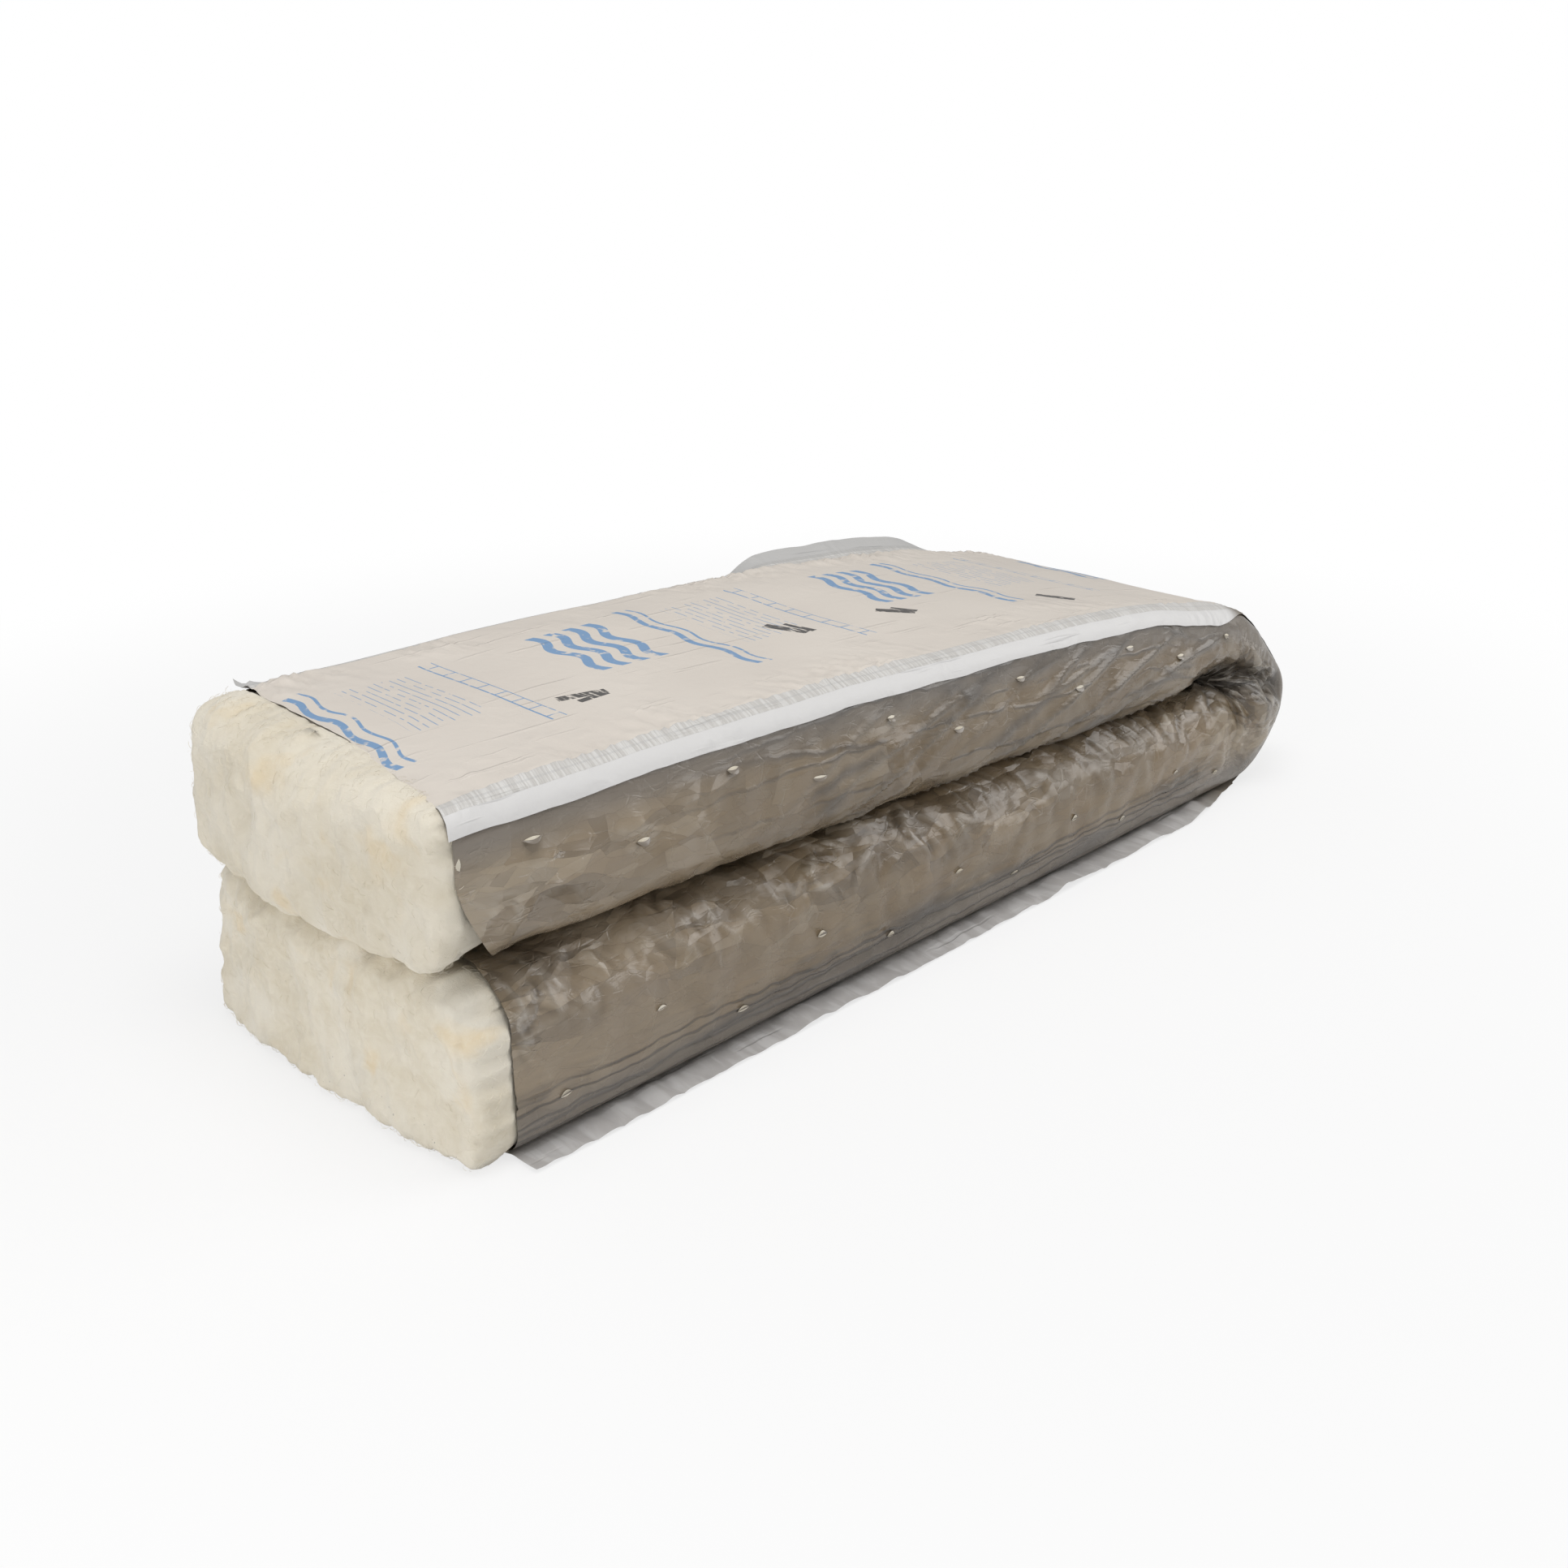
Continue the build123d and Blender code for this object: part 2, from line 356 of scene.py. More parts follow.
def wool_finish():
    """Cream fibre with paler, greyer and warmer clouds, painted shade on the upper limb, grey specks low down
    and a matted fibre relief.
    """
    straw, cream, pale_cream = (0.70, 0.63, 0.495), (0.80, 0.745, 0.635), (0.86, 0.81, 0.69)
    greyed, amber = (0.69, 0.66, 0.59), (0.76, 0.60, 0.36)
    upper_wool_painted_shade, speck = (0.52, 0.465, 0.36), (0.30, 0.28, 0.25)
    material, nodes, skin = new_finish("glass_wool_finish")
    place = nodes.node("ShaderNodeTexCoord").outputs["Object"]
    height = nodes.parts(place)[2]
    cloud = nodes.noise(place, 11.0, 3.0, Distortion=0.8)["Fac"]
    patch = nodes.noise(place, 17.0, 2.0, Distortion=0.5)
    fluff = nodes.noise(place, 70.0, 5.0, Roughness=0.62, Distortion=1.2)["Fac"]
    fibre_place = nodes.mapped(place, (0.5, 0.0, 0.3), (900, 130, 420))
    fibre = nodes.noise(fibre_place, 1.0, 3.0, Distortion=1.5)["Fac"]
    warm = nodes.node("ShaderNodeSeparateColor", {0: patch["Color"]}).outputs[2]
    colour = nodes.blend(nodes.between(cloud, 0.35, 0.68), straw, cream)
    colour = nodes.tint(colour, greyed, nodes.between(patch["Fac"], 0.52, 0.72), 0.35)
    colour = nodes.tint(colour, amber, nodes.between(warm, 0.58, 0.76), 0.6)
    colour = nodes.tint(colour, pale_cream, nodes.between(fluff, 0.35, 0.7), 0.35)
    # Painted shade: the wool higher than the slit, on the upper limb, is darkened.
    colour = nodes.tint(colour, upper_wool_painted_shade, nodes.between(height, 0.148, 0.172), 0.22)
    dots = nodes.node("ShaderNodeTexVoronoi", {"Vector": place, "Scale": 150.0, "Randomness": 1.0})
    dots = nodes.sums("LESS_THAN", dots.outputs["Distance"], 0.13)
    where = nodes.between(nodes.noise(place, 16.0, 1.0)["Fac"], 0.6, 0.68)
    low_down = nodes.spread(height, 0.16, 0.08, 0.0, 1.0)
    colour = nodes.tint(colour, speck, nodes.times(dots, where, low_down), 0.55)
    relief = nodes.plus(fluff, nodes.times(fibre, 0.35))
    nodes.fill(skin, {"Base Color": colour, "Roughness": 0.95, "Specular IOR Level": 0.15,
                      "Sheen Weight": 0.25, "Sheen Roughness": 0.6,
                      "Normal": nodes.bump(relief, 0.32, 0.004)})
    return material


across = 210                    # cells of a sawn face
outward = 74
coarse = 8                      # hidden wool has one point for this many at the rim
bare_skirt = 0.010              # wool this near a sawn face has loose fibres
skirt = np.array([0.003, 0.007, 0.012, 0.018, 0.026, 0.036, 0.048, 0.062])
u_rim = np.concatenate([np.linspace(-1, 1, across + 1)[:-1], np.ones(outward),
                        np.linspace(1, -1, across + 1)[:-1], -np.ones(outward)])
v_rim = np.concatenate([np.zeros(across), np.linspace(0, 1, outward + 1)[:-1],
                        np.ones(across), np.linspace(1, 0, outward + 1)[:-1]])
rim = len(u_rim)


def round_rim(grid):
    """The values round the edge of a grid, in the order of the rim."""
    return np.concatenate([grid[0, :-1], grid[:-1, -1], grid[-1, :0:-1], grid[:0:-1, 0]])


def sawn_end(way, seed):
    """Places of a sawn face and of the wool behind its rim. Way is 1 for the upper limb, -1 for the lower."""
    upper = way > 0
    u, v = np.meshgrid(np.linspace(-1, 1, across + 1), np.linspace(0, 1, outward + 1))

    def from_end(s):
        return s if upper else batt_run - s

    deep = float(depth_at(from_end(0.02)))
    wide = float(width_at(from_end(0.0)))
    y, h = rounded(u, v, wide, deep)
    spot = joined(y, h, 3.7 * way)
    # The face is rounded back at the slit, under the facing, at the near side and at the far side.
    rounds = (0.028, 0.010, 0.015, 0.022)
    if upper:
        rounds = (0.015, 0.040 * np.clip(0.28 + (1 + u), 0, 1), 0.014, 0.026)
    uneven = 1 + 0.35 * lumps(spot, 0.06, seed + 40)
    back = 0.0
    for size, gap in zip(rounds, (v * deep, (1 - v) * deep, wide * (1 + u), wide * (1 - u))):
        near_edge = np.clip(1 - gap / (size * uneven), 0, 1)
        back = back + (size * uneven * (1 - np.sqrt(1 - near_edge ** 2))) ** 2
    back = np.sqrt(back)
    bow = 1 - u ** 2
    ahead = 0.007 + 0.007 * bow if upper else 0.009 + 0.019 * bow * (0.4 + 0.6 * v)
    swell = 0.014 * lumps(spot, 0.13, seed, 2) + 0.0115 * (0.4 - np.abs(lumps(spot, 0.06, seed + 5, 2)))
    swell += 0.0034 * lumps(spot, 0.026, seed + 9, 2) + 0.0012 * lumps(spot, 0.0075, seed + 14, 2)
    from_rim = np.minimum(np.minimum(v, 1 - v) * deep, wide * (1 - np.abs(u)))
    calm = np.clip(from_rim / 0.012, 0.75, 1)
    fray = (0.0075 if upper else 0.0105) * lumps(spot, 0.022, seed + 30, 2) * (1 - ramp(from_rim, 0, 0.03))
    sag = 0.011 * bow * (1 - v)
    face_s = from_end(back - ahead - swell * calm)
    face = lay(face_s, y + fray * u ** 3, h - way * sag + fray * (2 * v - 1) ** 3)
    rings = []
    for step in skirt:
        under = ramp(step, bare_skirt, 0.05)
        start = round_rim(back - ahead) * (1 - under) + 0.02 * under + step
        ring_deep = float(depth_at(from_end(0.02 + step)))
        ring_y, ring_h = rounded(u_rim, v_rim, wide, ring_deep, 0.006 * under)
        ring_spot = joined(ring_y, ring_h, step + 9.1 * way)
        film_from = film_start - wool_start - 0.003 + (film_lead(0.0, ring_y) if upper else 0.0)
        loose = (1 - under) * (round_rim(fray) + 0.0025 * lumps(ring_spot, 0.016, seed + 20, 2))
        sunk = ramp(start, film_from, 0.02)
        loose = np.where(start > film_from, np.minimum(loose, 0) * sunk - 0.0009 - 0.0018 * sunk, loose)
        ring_h = ring_h + loose * (2 * v_rim - 1) ** 3 - way * (1 - under) * round_rim(sag)
        rings.append(lay(from_end(start), ring_y + loose * u_rim ** 3, ring_h))
    return face, rings, from_rim


def blanket_mesh(material):
    """The closed blanket: two sawn ends joined by a coarser run of wool under the films."""
    places, faces, bare, ends = [], [], [], []
    count = 0
    for way, seed in ((1, 11), (-1, 57)):
        face, rings, from_rim = sawn_end(way, seed)
        number = numbered(face, count)
        places.append(face.reshape(-1, 3))
        bare.append(np.clip(1.2 - from_rim / 0.015, 0.25, 1).ravel())
        count += number.size
        faces += [[a, d, c, b] for a, b, c, d in grid_faces(number)]
        ring = round_rim(number)
        for step, row in zip(skirt, rings):
            after = count + np.arange(rim)
            places.append(row)
            bare.append(np.full(rim, float(step < bare_skirt)))
            count += rim
            faces += np.stack([ring, np.roll(ring, -1), np.roll(after, -1), after], axis=-1).tolist()
            ring = after
        ends.append(ring)
    for part in places:
        part[:, 2] = np.maximum(part[:, 2], wool_clear)
    stations = np.concatenate([np.arange(0.12, upper_run, 0.03), np.arange(upper_run, lower_from, 0.014),
                               np.arange(lower_from, batt_run - 0.12, 0.03)])
    trim = 0.0075 + 0.019 * hump(stations, upper_run + 0.36 * fold_run, 0.60 * fold_run, 4)
    y, h = rounded(u_rim[::coarse], v_rim[::coarse], width_at(stations)[:, None],
                   depth_at(stations)[:, None], trim[:, None])
    hidden = lay(stations[:, None], y, h)
    number = numbered(hidden, count)
    places.append(hidden.reshape(-1, 3))
    bare.append(np.zeros(number.size))
    following = np.roll(number, -1, axis=1)
    hidden_faces = np.stack([number[:-1], following[:-1], following[1:], number[1:]], axis=-1)
    faces += hidden_faces.reshape(-1, 4).tolist()
    half = coarse // 2
    for fine, ring in ((ends[0], number[0]), (ends[1], number[-1])):
        for place, nearest in enumerate(ring):
            edge = [fine[(place * coarse + step) % rim] for step in range(coarse + 1)]
            next_one = ring[(place + 1) % len(ring)]
            faces += [[edge[step], edge[step + 1], nearest] for step in range(half)]
            faces += [[edge[step], edge[step + 1], next_one] for step in range(half, coarse)]
            faces.append([edge[half], next_one, nearest])
    shares = {"bare": np.concatenate(bare)}
    made = finished_mesh("glass_wool_blanket", np.concatenate(places), faces, material, shares)
    shell = bmesh.new()
    shell.from_mesh(made.data)
    bmesh.ops.recalc_face_normals(shell, faces=shell.faces)
    shell.to_mesh(made.data)
    shell.free()
    return made


def real_copies(nodes, inputs, material):
    """Ends a group of geometry nodes: copies of a shape on points, as real mesh of a material."""
    copies = nodes.node("GeometryNodeInstanceOnPoints", inputs)
    real = nodes.node("GeometryNodeRealizeInstances", {0: copies.outputs[0]})
    done = nodes.node("GeometryNodeSetMaterial", {0: real.outputs[0], "Material": material})
    nodes.node("NodeGroupOutput", {0: done.outputs[0]})


def grown(carrier, nodes, values, name):
    """What a group of geometry nodes makes on an object, as a plain object in its place."""
    growth = carrier.modifiers.new("growth", "NODES")
    growth.node_group = nodes.tree
    for label, value in values.items():
        growth[nodes.tree.interface.items_tree[label].identifier] = value
    mesh = bpy.data.meshes.new_from_object(carrier.evaluated_get(bpy.context.evaluated_depsgraph_get()))
    made = bpy.data.objects.new(name, mesh)
    bpy.context.scene.collection.objects.link(made)
    carrier.modifiers.clear()
    return made


def loose_fibres(wool, material):
    """Thin curved strands that stand and lie every way on the bare wool."""
    thick = "Strands per square metre"
    nodes = new_group("loose_fibres", "GeometryNodeTree", {"Wool": "Geometry", thick: "Float", "Seed": "Int"},
                      {"Strands": "Geometry"})
    start = nodes.node("NodeGroupInput").outputs
    bare = nodes.node("GeometryNodeInputNamedAttribute", {"Name": "bare"}, data_type="FLOAT").outputs[0]
    spread = nodes.node("GeometryNodeDistributePointsOnFaces", {
        "Mesh": start["Wool"], "Density": nodes.times(bare, start[thick]), "Seed": start["Seed"]}).outputs
    lean = nodes.node("FunctionNodeRandomValue", {0: (-0.6, -0.6, -3.14), 1: (0.6, 0.6, 3.14), "Seed": 4},
                      data_type="FLOAT_VECTOR").outputs[0]
    lean = nodes.node("FunctionNodeEulerToRotation", {0: lean}).outputs[0]
    turn = nodes.node("FunctionNodeRotateRotation", {0: spread["Rotation"], 1: lean}, rotation_space="LOCAL")
    size = nodes.node("FunctionNodeRandomValue", {2: 0.35, 3: 1.15, "Seed": 8}, data_type="FLOAT").outputs[1]
    strand = nodes.node("GeometryNodeCurveQuadraticBezier", {
        "Resolution": 4, "Start": (-0.004, 0, -0.0006), "Middle": (0.001, 0.002, 0.0042),
        "End": (0.005, -0.001, 0.0004)}).outputs[0]
    flat = nodes.node("GeometryNodeCurvePrimitiveLine", {
        "Start": (0, -fibre_half, 0), "End": (0, fibre_half, 0)})
    ribbon = nodes.node("GeometryNodeCurveToMesh", {"Curve": strand, "Profile Curve": flat.outputs[0]})
    real_copies(nodes, {"Points": spread["Points"], "Instance": ribbon.outputs[0],
                        "Rotation": turn.outputs[0], "Scale": size}, material)
    made = grown(wool, nodes, {thick: fibres_per_square_metre, "Seed": 5}, "glass_wool_fibres")
    places = np.empty(len(made.data.vertices) * 3, dtype=np.float32)
    made.data.vertices.foreach_get("co", places)
    places[2::3] = np.maximum(places[2::3], fibre_clear)
    made.data.vertices.foreach_set("co", places)
    return made


wool_material = wool_finish()
blanket = blanket_mesh(wool_material)
fibres = loose_fibres(blanket, wool_material)
for piece in (blanket, fibres):
    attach(piece, "root")
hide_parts("glass_wool")

# Grey wrap film
# One sheet of thin smoky polyethylene, sealed to the facing along both long edges. It covers the two sides
# and the faces inside the fold, and it is slack, so it creases where the batt is bent and squeezed.
cell_along = 0.0033
crumple_cell = 0.0062           # the slack is worked out on a coarser grid
crumple_frames = 34
most_slack = 0.22
film_off = 0.0006               # the smooth film lies this far off the wool
film_clear = 0.0004
most_lift = 0.0095
seal_t = 0.008                  # lengths down the film are counted from the seal, this far from its edge
seal_angle = math.radians(78)   # how far round the outer edge the film starts
tuck_line = ((0.395, 0.150), (0.455, 0.146), (0.530, 0.122), (0.600, 0.098))
tuck_depth = 0.023
wrap_from = film_start - wool_start
wrap_to = batt_run - wrap_from
facet_spots = 6500


# The film's cut has four runs: the outer round, the flat side, the slit's round and the face in the slit.
# A row of the film is a run and a share along it.
def wrap_rows():
    """The rows of the film from the seal to the middle of the batt."""
    rows = [(run, step / count) for run, count in ((0, 8), (1, 17), (2, 24)) for step in range(count)]
    rows += [(3, share) for share in (0.0, 0.02, 0.05, 0.09, 0.13, 0.18, 0.24, 0.32, 0.45, 0.7, 1.0)]
    return np.array(rows)


def wrap_cut(s, rows):
    """Across and off the slit on the film's cut at each station and row, with its normal."""
    deep = depth_at(s)[:, None]
    wide = width_at(s)[:, None]
    run, share = rows[None, :, 0], rows[None, :, 1]
    flat = deep - outer_round - slit_round - slit_half
    outer = seal_angle * (1 - share)
    inner = -math.pi / 2 * share
    on_run = [run == 0, run == 1, run == 2]
    y = np.select(on_run, [wide - outer_round + outer_round * np.cos(outer), wide + 0 * share,
                           wide - slit_round + slit_round * np.cos(inner)], (wide - slit_round) * (1 - share))
    h = np.select(on_run, [deep - outer_round + outer_round * np.sin(outer),
                           deep - outer_round - flat * share,
                           slit_half + slit_round + slit_round * np.sin(inner)], slit_half)
    normal_y = np.select(on_run, [np.cos(outer), 1 + 0 * share, np.cos(inner)], 0.0)
    normal_h = np.select(on_run, [np.sin(outer), 0 * share, np.sin(inner)], -1.0)
    return y + film_off * normal_y, h + film_off * normal_h, normal_y, normal_h


def crushed(s, t, seed):
    """How crushed the film is on the limbs and in the fold, each from 0 to 1."""
    patch = np.clip(0.5 + 1.8 * lumps(joined(s, t, seed), 0.12, seed + 6, 2), 0, 1)
    near_end = hump(np.minimum(s, batt_run - s), 0, 0.42)
    on_lower = (s > upper_run) * hump(t, 0.135, 0.046, 4) * (0.25 + 0.75 * patch) * (0.65 + 0.35 * near_end)
    on_upper = (s < upper_run) * (0.12 + 0.75 * near_end * patch) * ramp(t, 0.03, 0.03)
    in_fold = hump(s, upper_run + 0.56 * fold_run, 0.62 * fold_run, 4) * ramp(t, 0.015, 0.03)
    return np.clip(np.maximum(on_lower, on_upper), 0, 1), in_fold


def crushed_facets(s, t, seed):
    """Flat facets with sharp folds between, small where the film is crushed and wide where it is taut."""
    draw = np.random.default_rng(seed)
    spots = draw.uniform((wrap_from - 0.04, -0.03), (wrap_to + 0.04, 0.27), (facet_spots, 2))
    crush, in_fold = crushed(spots[:, 0], spots[:, 1], seed)
    rise = draw.uniform(-1, 1, len(spots)) * (0.0004 + 0.0030 * crush + 0.0046 * in_fold)
    kept = draw.uniform(0, 1, len(spots)) < 0.05 + 0.75 * crush * (1 - in_fold) + 0.22 * in_fold
    rise = rise[kept]
    points = [Vector(spot) for spot in spots[kept].tolist()]
    corners, _, faces, sources, _, _ = delaunay_2d_cdt(points, [], [], 0, 1e-7)
    raised = [(*corner, rise[source[0]]) for corner, source in zip(corners, sources)]
    sheet = BVHTree.FromPolygons(raised, faces)
    hits = [sheet.ray_cast((a, b, 1), (0, 0, -1))[0] for a, b in zip(s.ravel().tolist(), t.ravel().tolist())]
    return np.array([hit[2] if hit else 0.0 for hit in hits]).reshape(s.shape)


def film_creases(s, t, seed):
    """Long pulled creases, as a height and as how dark they are: doubled film and painted shade in the
    crease.
    """
    spot = joined(s, t, seed * 1.7)
    bend = 0.003 * lumps(spot, 0.06, seed + 1, 2)
    upper = 1 / (1 + np.exp((s - upper_run + 0.03) / 0.02))
    lower = 1 / (1 + np.exp((lower_from + 0.02 - s) / 0.02))

    def slanted(degrees, length, width, key):
        angle = math.radians(degrees)
        along = s * math.cos(angle) - t * math.sin(angle)
        aside = s * math.sin(angle) + t * math.cos(angle) + bend
        ridge = np.abs(soft_noise(joined(along / length, aside / width, key), seed + key))
        return np.maximum(1 - 4 * ridge, 0) ** 2

    patch = np.clip(0.45 + 1.5 * lumps(spot, 0.15, seed + 6, 2), 0, 1)
    back = ramp(s, 0.25, 0.25)
    pulled = upper * slanted(20, 0.34, 0.032, 31) * back
    pulled += 0.7 * upper * slanted(27, 0.22, 0.021, 33) * (0.25 + 0.75 * back) * patch
    rolled = lower * slanted(2, 0.50, 0.016, 35) * hump(t, 0.046, 0.017)
    pinched = lower * slanted(-58, 0.08, 0.022, 37) * hump(t, 0.14, 0.035) * patch
    height = 0.0036 * pulled + 0.0046 * rolled + 0.0030 * pinched
    return height, np.clip(pulled + 1.3 * rolled + 0.8 * pinched, 0, 1)


def slack_film(places, hold, slack):
    """Lets a sheet that is a little too large for its place crumple: held points stay, the rest buckle."""
    mesh = bpy.data.meshes.new("slack_film")
    mesh.from_pydata(places.reshape(-1, 3).tolist(), [], grid_faces(numbered(places)))
    film = bpy.data.objects.new("slack_film", mesh)
    bpy.context.scene.collection.objects.link(film)
    for name, shares in (("hold", hold), ("taut", 1 - slack)):
        group = film.vertex_groups.new(name=name)
        for place, share in enumerate(shares.ravel()):
            group.add([place], float(share), "REPLACE")
    cloth = film.modifiers.new("slack", "CLOTH")
    settings = {"quality": 6, "mass": 0.1, "air_damping": 4, "tension_stiffness": 80,
                "compression_stiffness": 80, "shear_stiffness": 40, "bending_stiffness": 25,
                "vertex_group_mass": "hold", "pin_stiffness": 1.0, "vertex_group_shrink": "taut",
                "shrink_min": -most_slack, "shrink_max": 0.0}
    for key, value in settings.items():
        setattr(cloth.settings, key, value)
    cloth.settings.effector_weights.gravity = 0.0
    cloth.collision_settings.use_collision = False
    cloth.point_cache.frame_end = crumple_frames
    for moment in range(1, crumple_frames + 1):
        bpy.context.scene.frame_set(moment)
    settled = film.evaluated_get(bpy.context.evaluated_depsgraph_get()).data
    after = np.empty(places.size, dtype=np.float32)
    settled.vertices.foreach_get("co", after)
    bpy.data.objects.remove(film)
    bpy.data.meshes.remove(mesh)
    bpy.context.scene.frame_set(1)
    return after.reshape(places.shape).astype(float)


def unit(ways):
    """The same ways with length one."""
    return ways / np.maximum(np.linalg.norm(ways, axis=-1, keepdims=True), 1e-9)


def local_frames(places):
    """Unit ways along, across and out of a sheet at each of its points."""
    along = unit(np.gradient(places, axis=0))
    out = unit(np.cross(along, np.gradient(places, axis=1)))
    return along, np.cross(out, along), out


def resample(values, index, axis):
    """Smooth values at places between the rows of a grid."""
    values = np.moveaxis(values, axis, 0)
    first = np.clip(np.floor(index).astype(int), 0, len(values) - 2)
    share = (index - first).reshape(-1, *[1] * (values.ndim - 1))
    a, b = values[np.maximum(first - 1, 0)], values[first]
    c, d = values[first + 1], values[np.minimum(first + 2, len(values) - 1)]
    curve = b + 0.5 * share * (c - a + share * (2 * a - 5 * b + 4 * c - d + share * (3 * (b - c) + d - a)))
    return np.moveaxis(curve, 0, axis)


def tucked(x, z, width):
    """How near a place in the side view is to the line where the film is tucked in, from 0 to 1."""
    gap = np.inf
    for (x0, z0), (x1, z1) in zip(tuck_line[:-1], tuck_line[1:]):
        run_x, run_z = x1 - x0, z1 - z0
        share = np.clip(((x - x0) * run_x + (z - z0) * run_z) / (run_x ** 2 + run_z ** 2), 0, 1)
        gap = np.minimum(gap, np.hypot(x - x0 - share * run_x, z - z0 - share * run_z))
    return hump(gap, 0, width) * ramp(x, tuck_line[0][0] - 0.02, 0.06)


def bare_wrap(s, rows):
    """One side of the film, smooth, as places with y outwards, and the length down from the seal."""
    y, h, normal_y, normal_h = wrap_cut(s, rows)
    steps = np.hypot(np.diff(y), np.diff(h))
    t = np.concatenate([np.zeros((len(s), 1)), np.cumsum(steps, axis=1)], axis=1) - seal_t
    run, share = rows[None, :, 0], rows[None, :, 1]
    turned = math.pi * ramp(s, upper_run, fold_run)[:, None]
    puffed = 0.006 * np.clip(np.minimum(s - wrap_from, wrap_to - s) / 0.09, 0.1, 1)[:, None]
    bulge = (puffed + 0.011 * hump(turned, 1.75, 0.95, 4)) * np.sin(np.pi * ramp(t, 0.024, 0.14))
    flush = lay(s[:, None], y, h)
    tuck = tucked(flush[..., 0], flush[..., 2], 0.015) * np.where(run < 2, 1.0, 1 - 0.6 * share)
    lift = np.where(run == 3, 0.0, bulge) - tuck_depth * tuck * ramp(t, 0.01, 0.04) * (run < 3)
    return lay(s[:, None], y + lift * normal_y, np.maximum(h + lift * normal_h, film_clear)), t


crumple_rows = np.array([(0, step / 4) for step in range(4)] + [(1, step / 9) for step in range(9)]
                        + [(2, step / 13) for step in range(13)] + [(3, 0.0), (3, 0.05), (3, 0.1)])
crumple_s = np.linspace(wrap_from, wrap_to, int((wrap_to - wrap_from) / crumple_cell))


def crumpled_side(seed):
    """How the slack film of one side moves along, across and out of its smooth place, on a coarse grid."""
    smooth, t = bare_wrap(crumple_s, crumple_rows)
    spot = joined(crumple_s[:, None], t, seed)
    start = smooth + 0.0012 * lumps(spot, 0.045, seed, 2)[..., None] * local_frames(smooth)[2]
    cell = np.linalg.norm(np.gradient(smooth, axis=0), axis=-1)
    turning = hump(crumple_s, upper_run + fold_run / 2, 0.42 * fold_run, 4)[:, None]
    hold = np.where(t < 0.034, 0.8, 0.2)
    hold[:, [0, -1]] = 1.0
    hold = np.where(cell < 0.002, 1.0, hold)
    patch = np.clip(0.5 + 1.1 * lumps(spot, 0.16, seed + 3, 2), 0, 1)
    front = 1 - ramp(np.minimum(crumple_s, batt_run - crumple_s), 0.3, 0.3)[:, None]
    easy = np.where(crumple_s < upper_run - 0.05, 0.4, 0.85)[:, None]
    slack = np.clip(easy * (0.07 + 0.08 * patch + 0.09 * front * patch) + 0.22 * turning, 0, 1)
    moved = slack_film(start, hold, slack * ramp(t, 0.02, 0.03)) - smooth
    return joined(*[(moved * way).sum(axis=-1) for way in local_frames(smooth)])


# Breather slits: two staggered rows on each side of each limb, as shares down the flat of the side
# and the place of the first slit.
slit_rows = ((0.2, 0.046), (0.7, 0.141))
slit_pitch = 0.190
slit_spots = []
for slit_share, first_slit in slit_rows:
    for slit_x in np.arange(film_start + lower_lag + first_slit, tip_x, slit_pitch):
        slit_spots += [(slit_x - wool_start, slit_share), (lower_from + tip_x - slit_x, slit_share)]


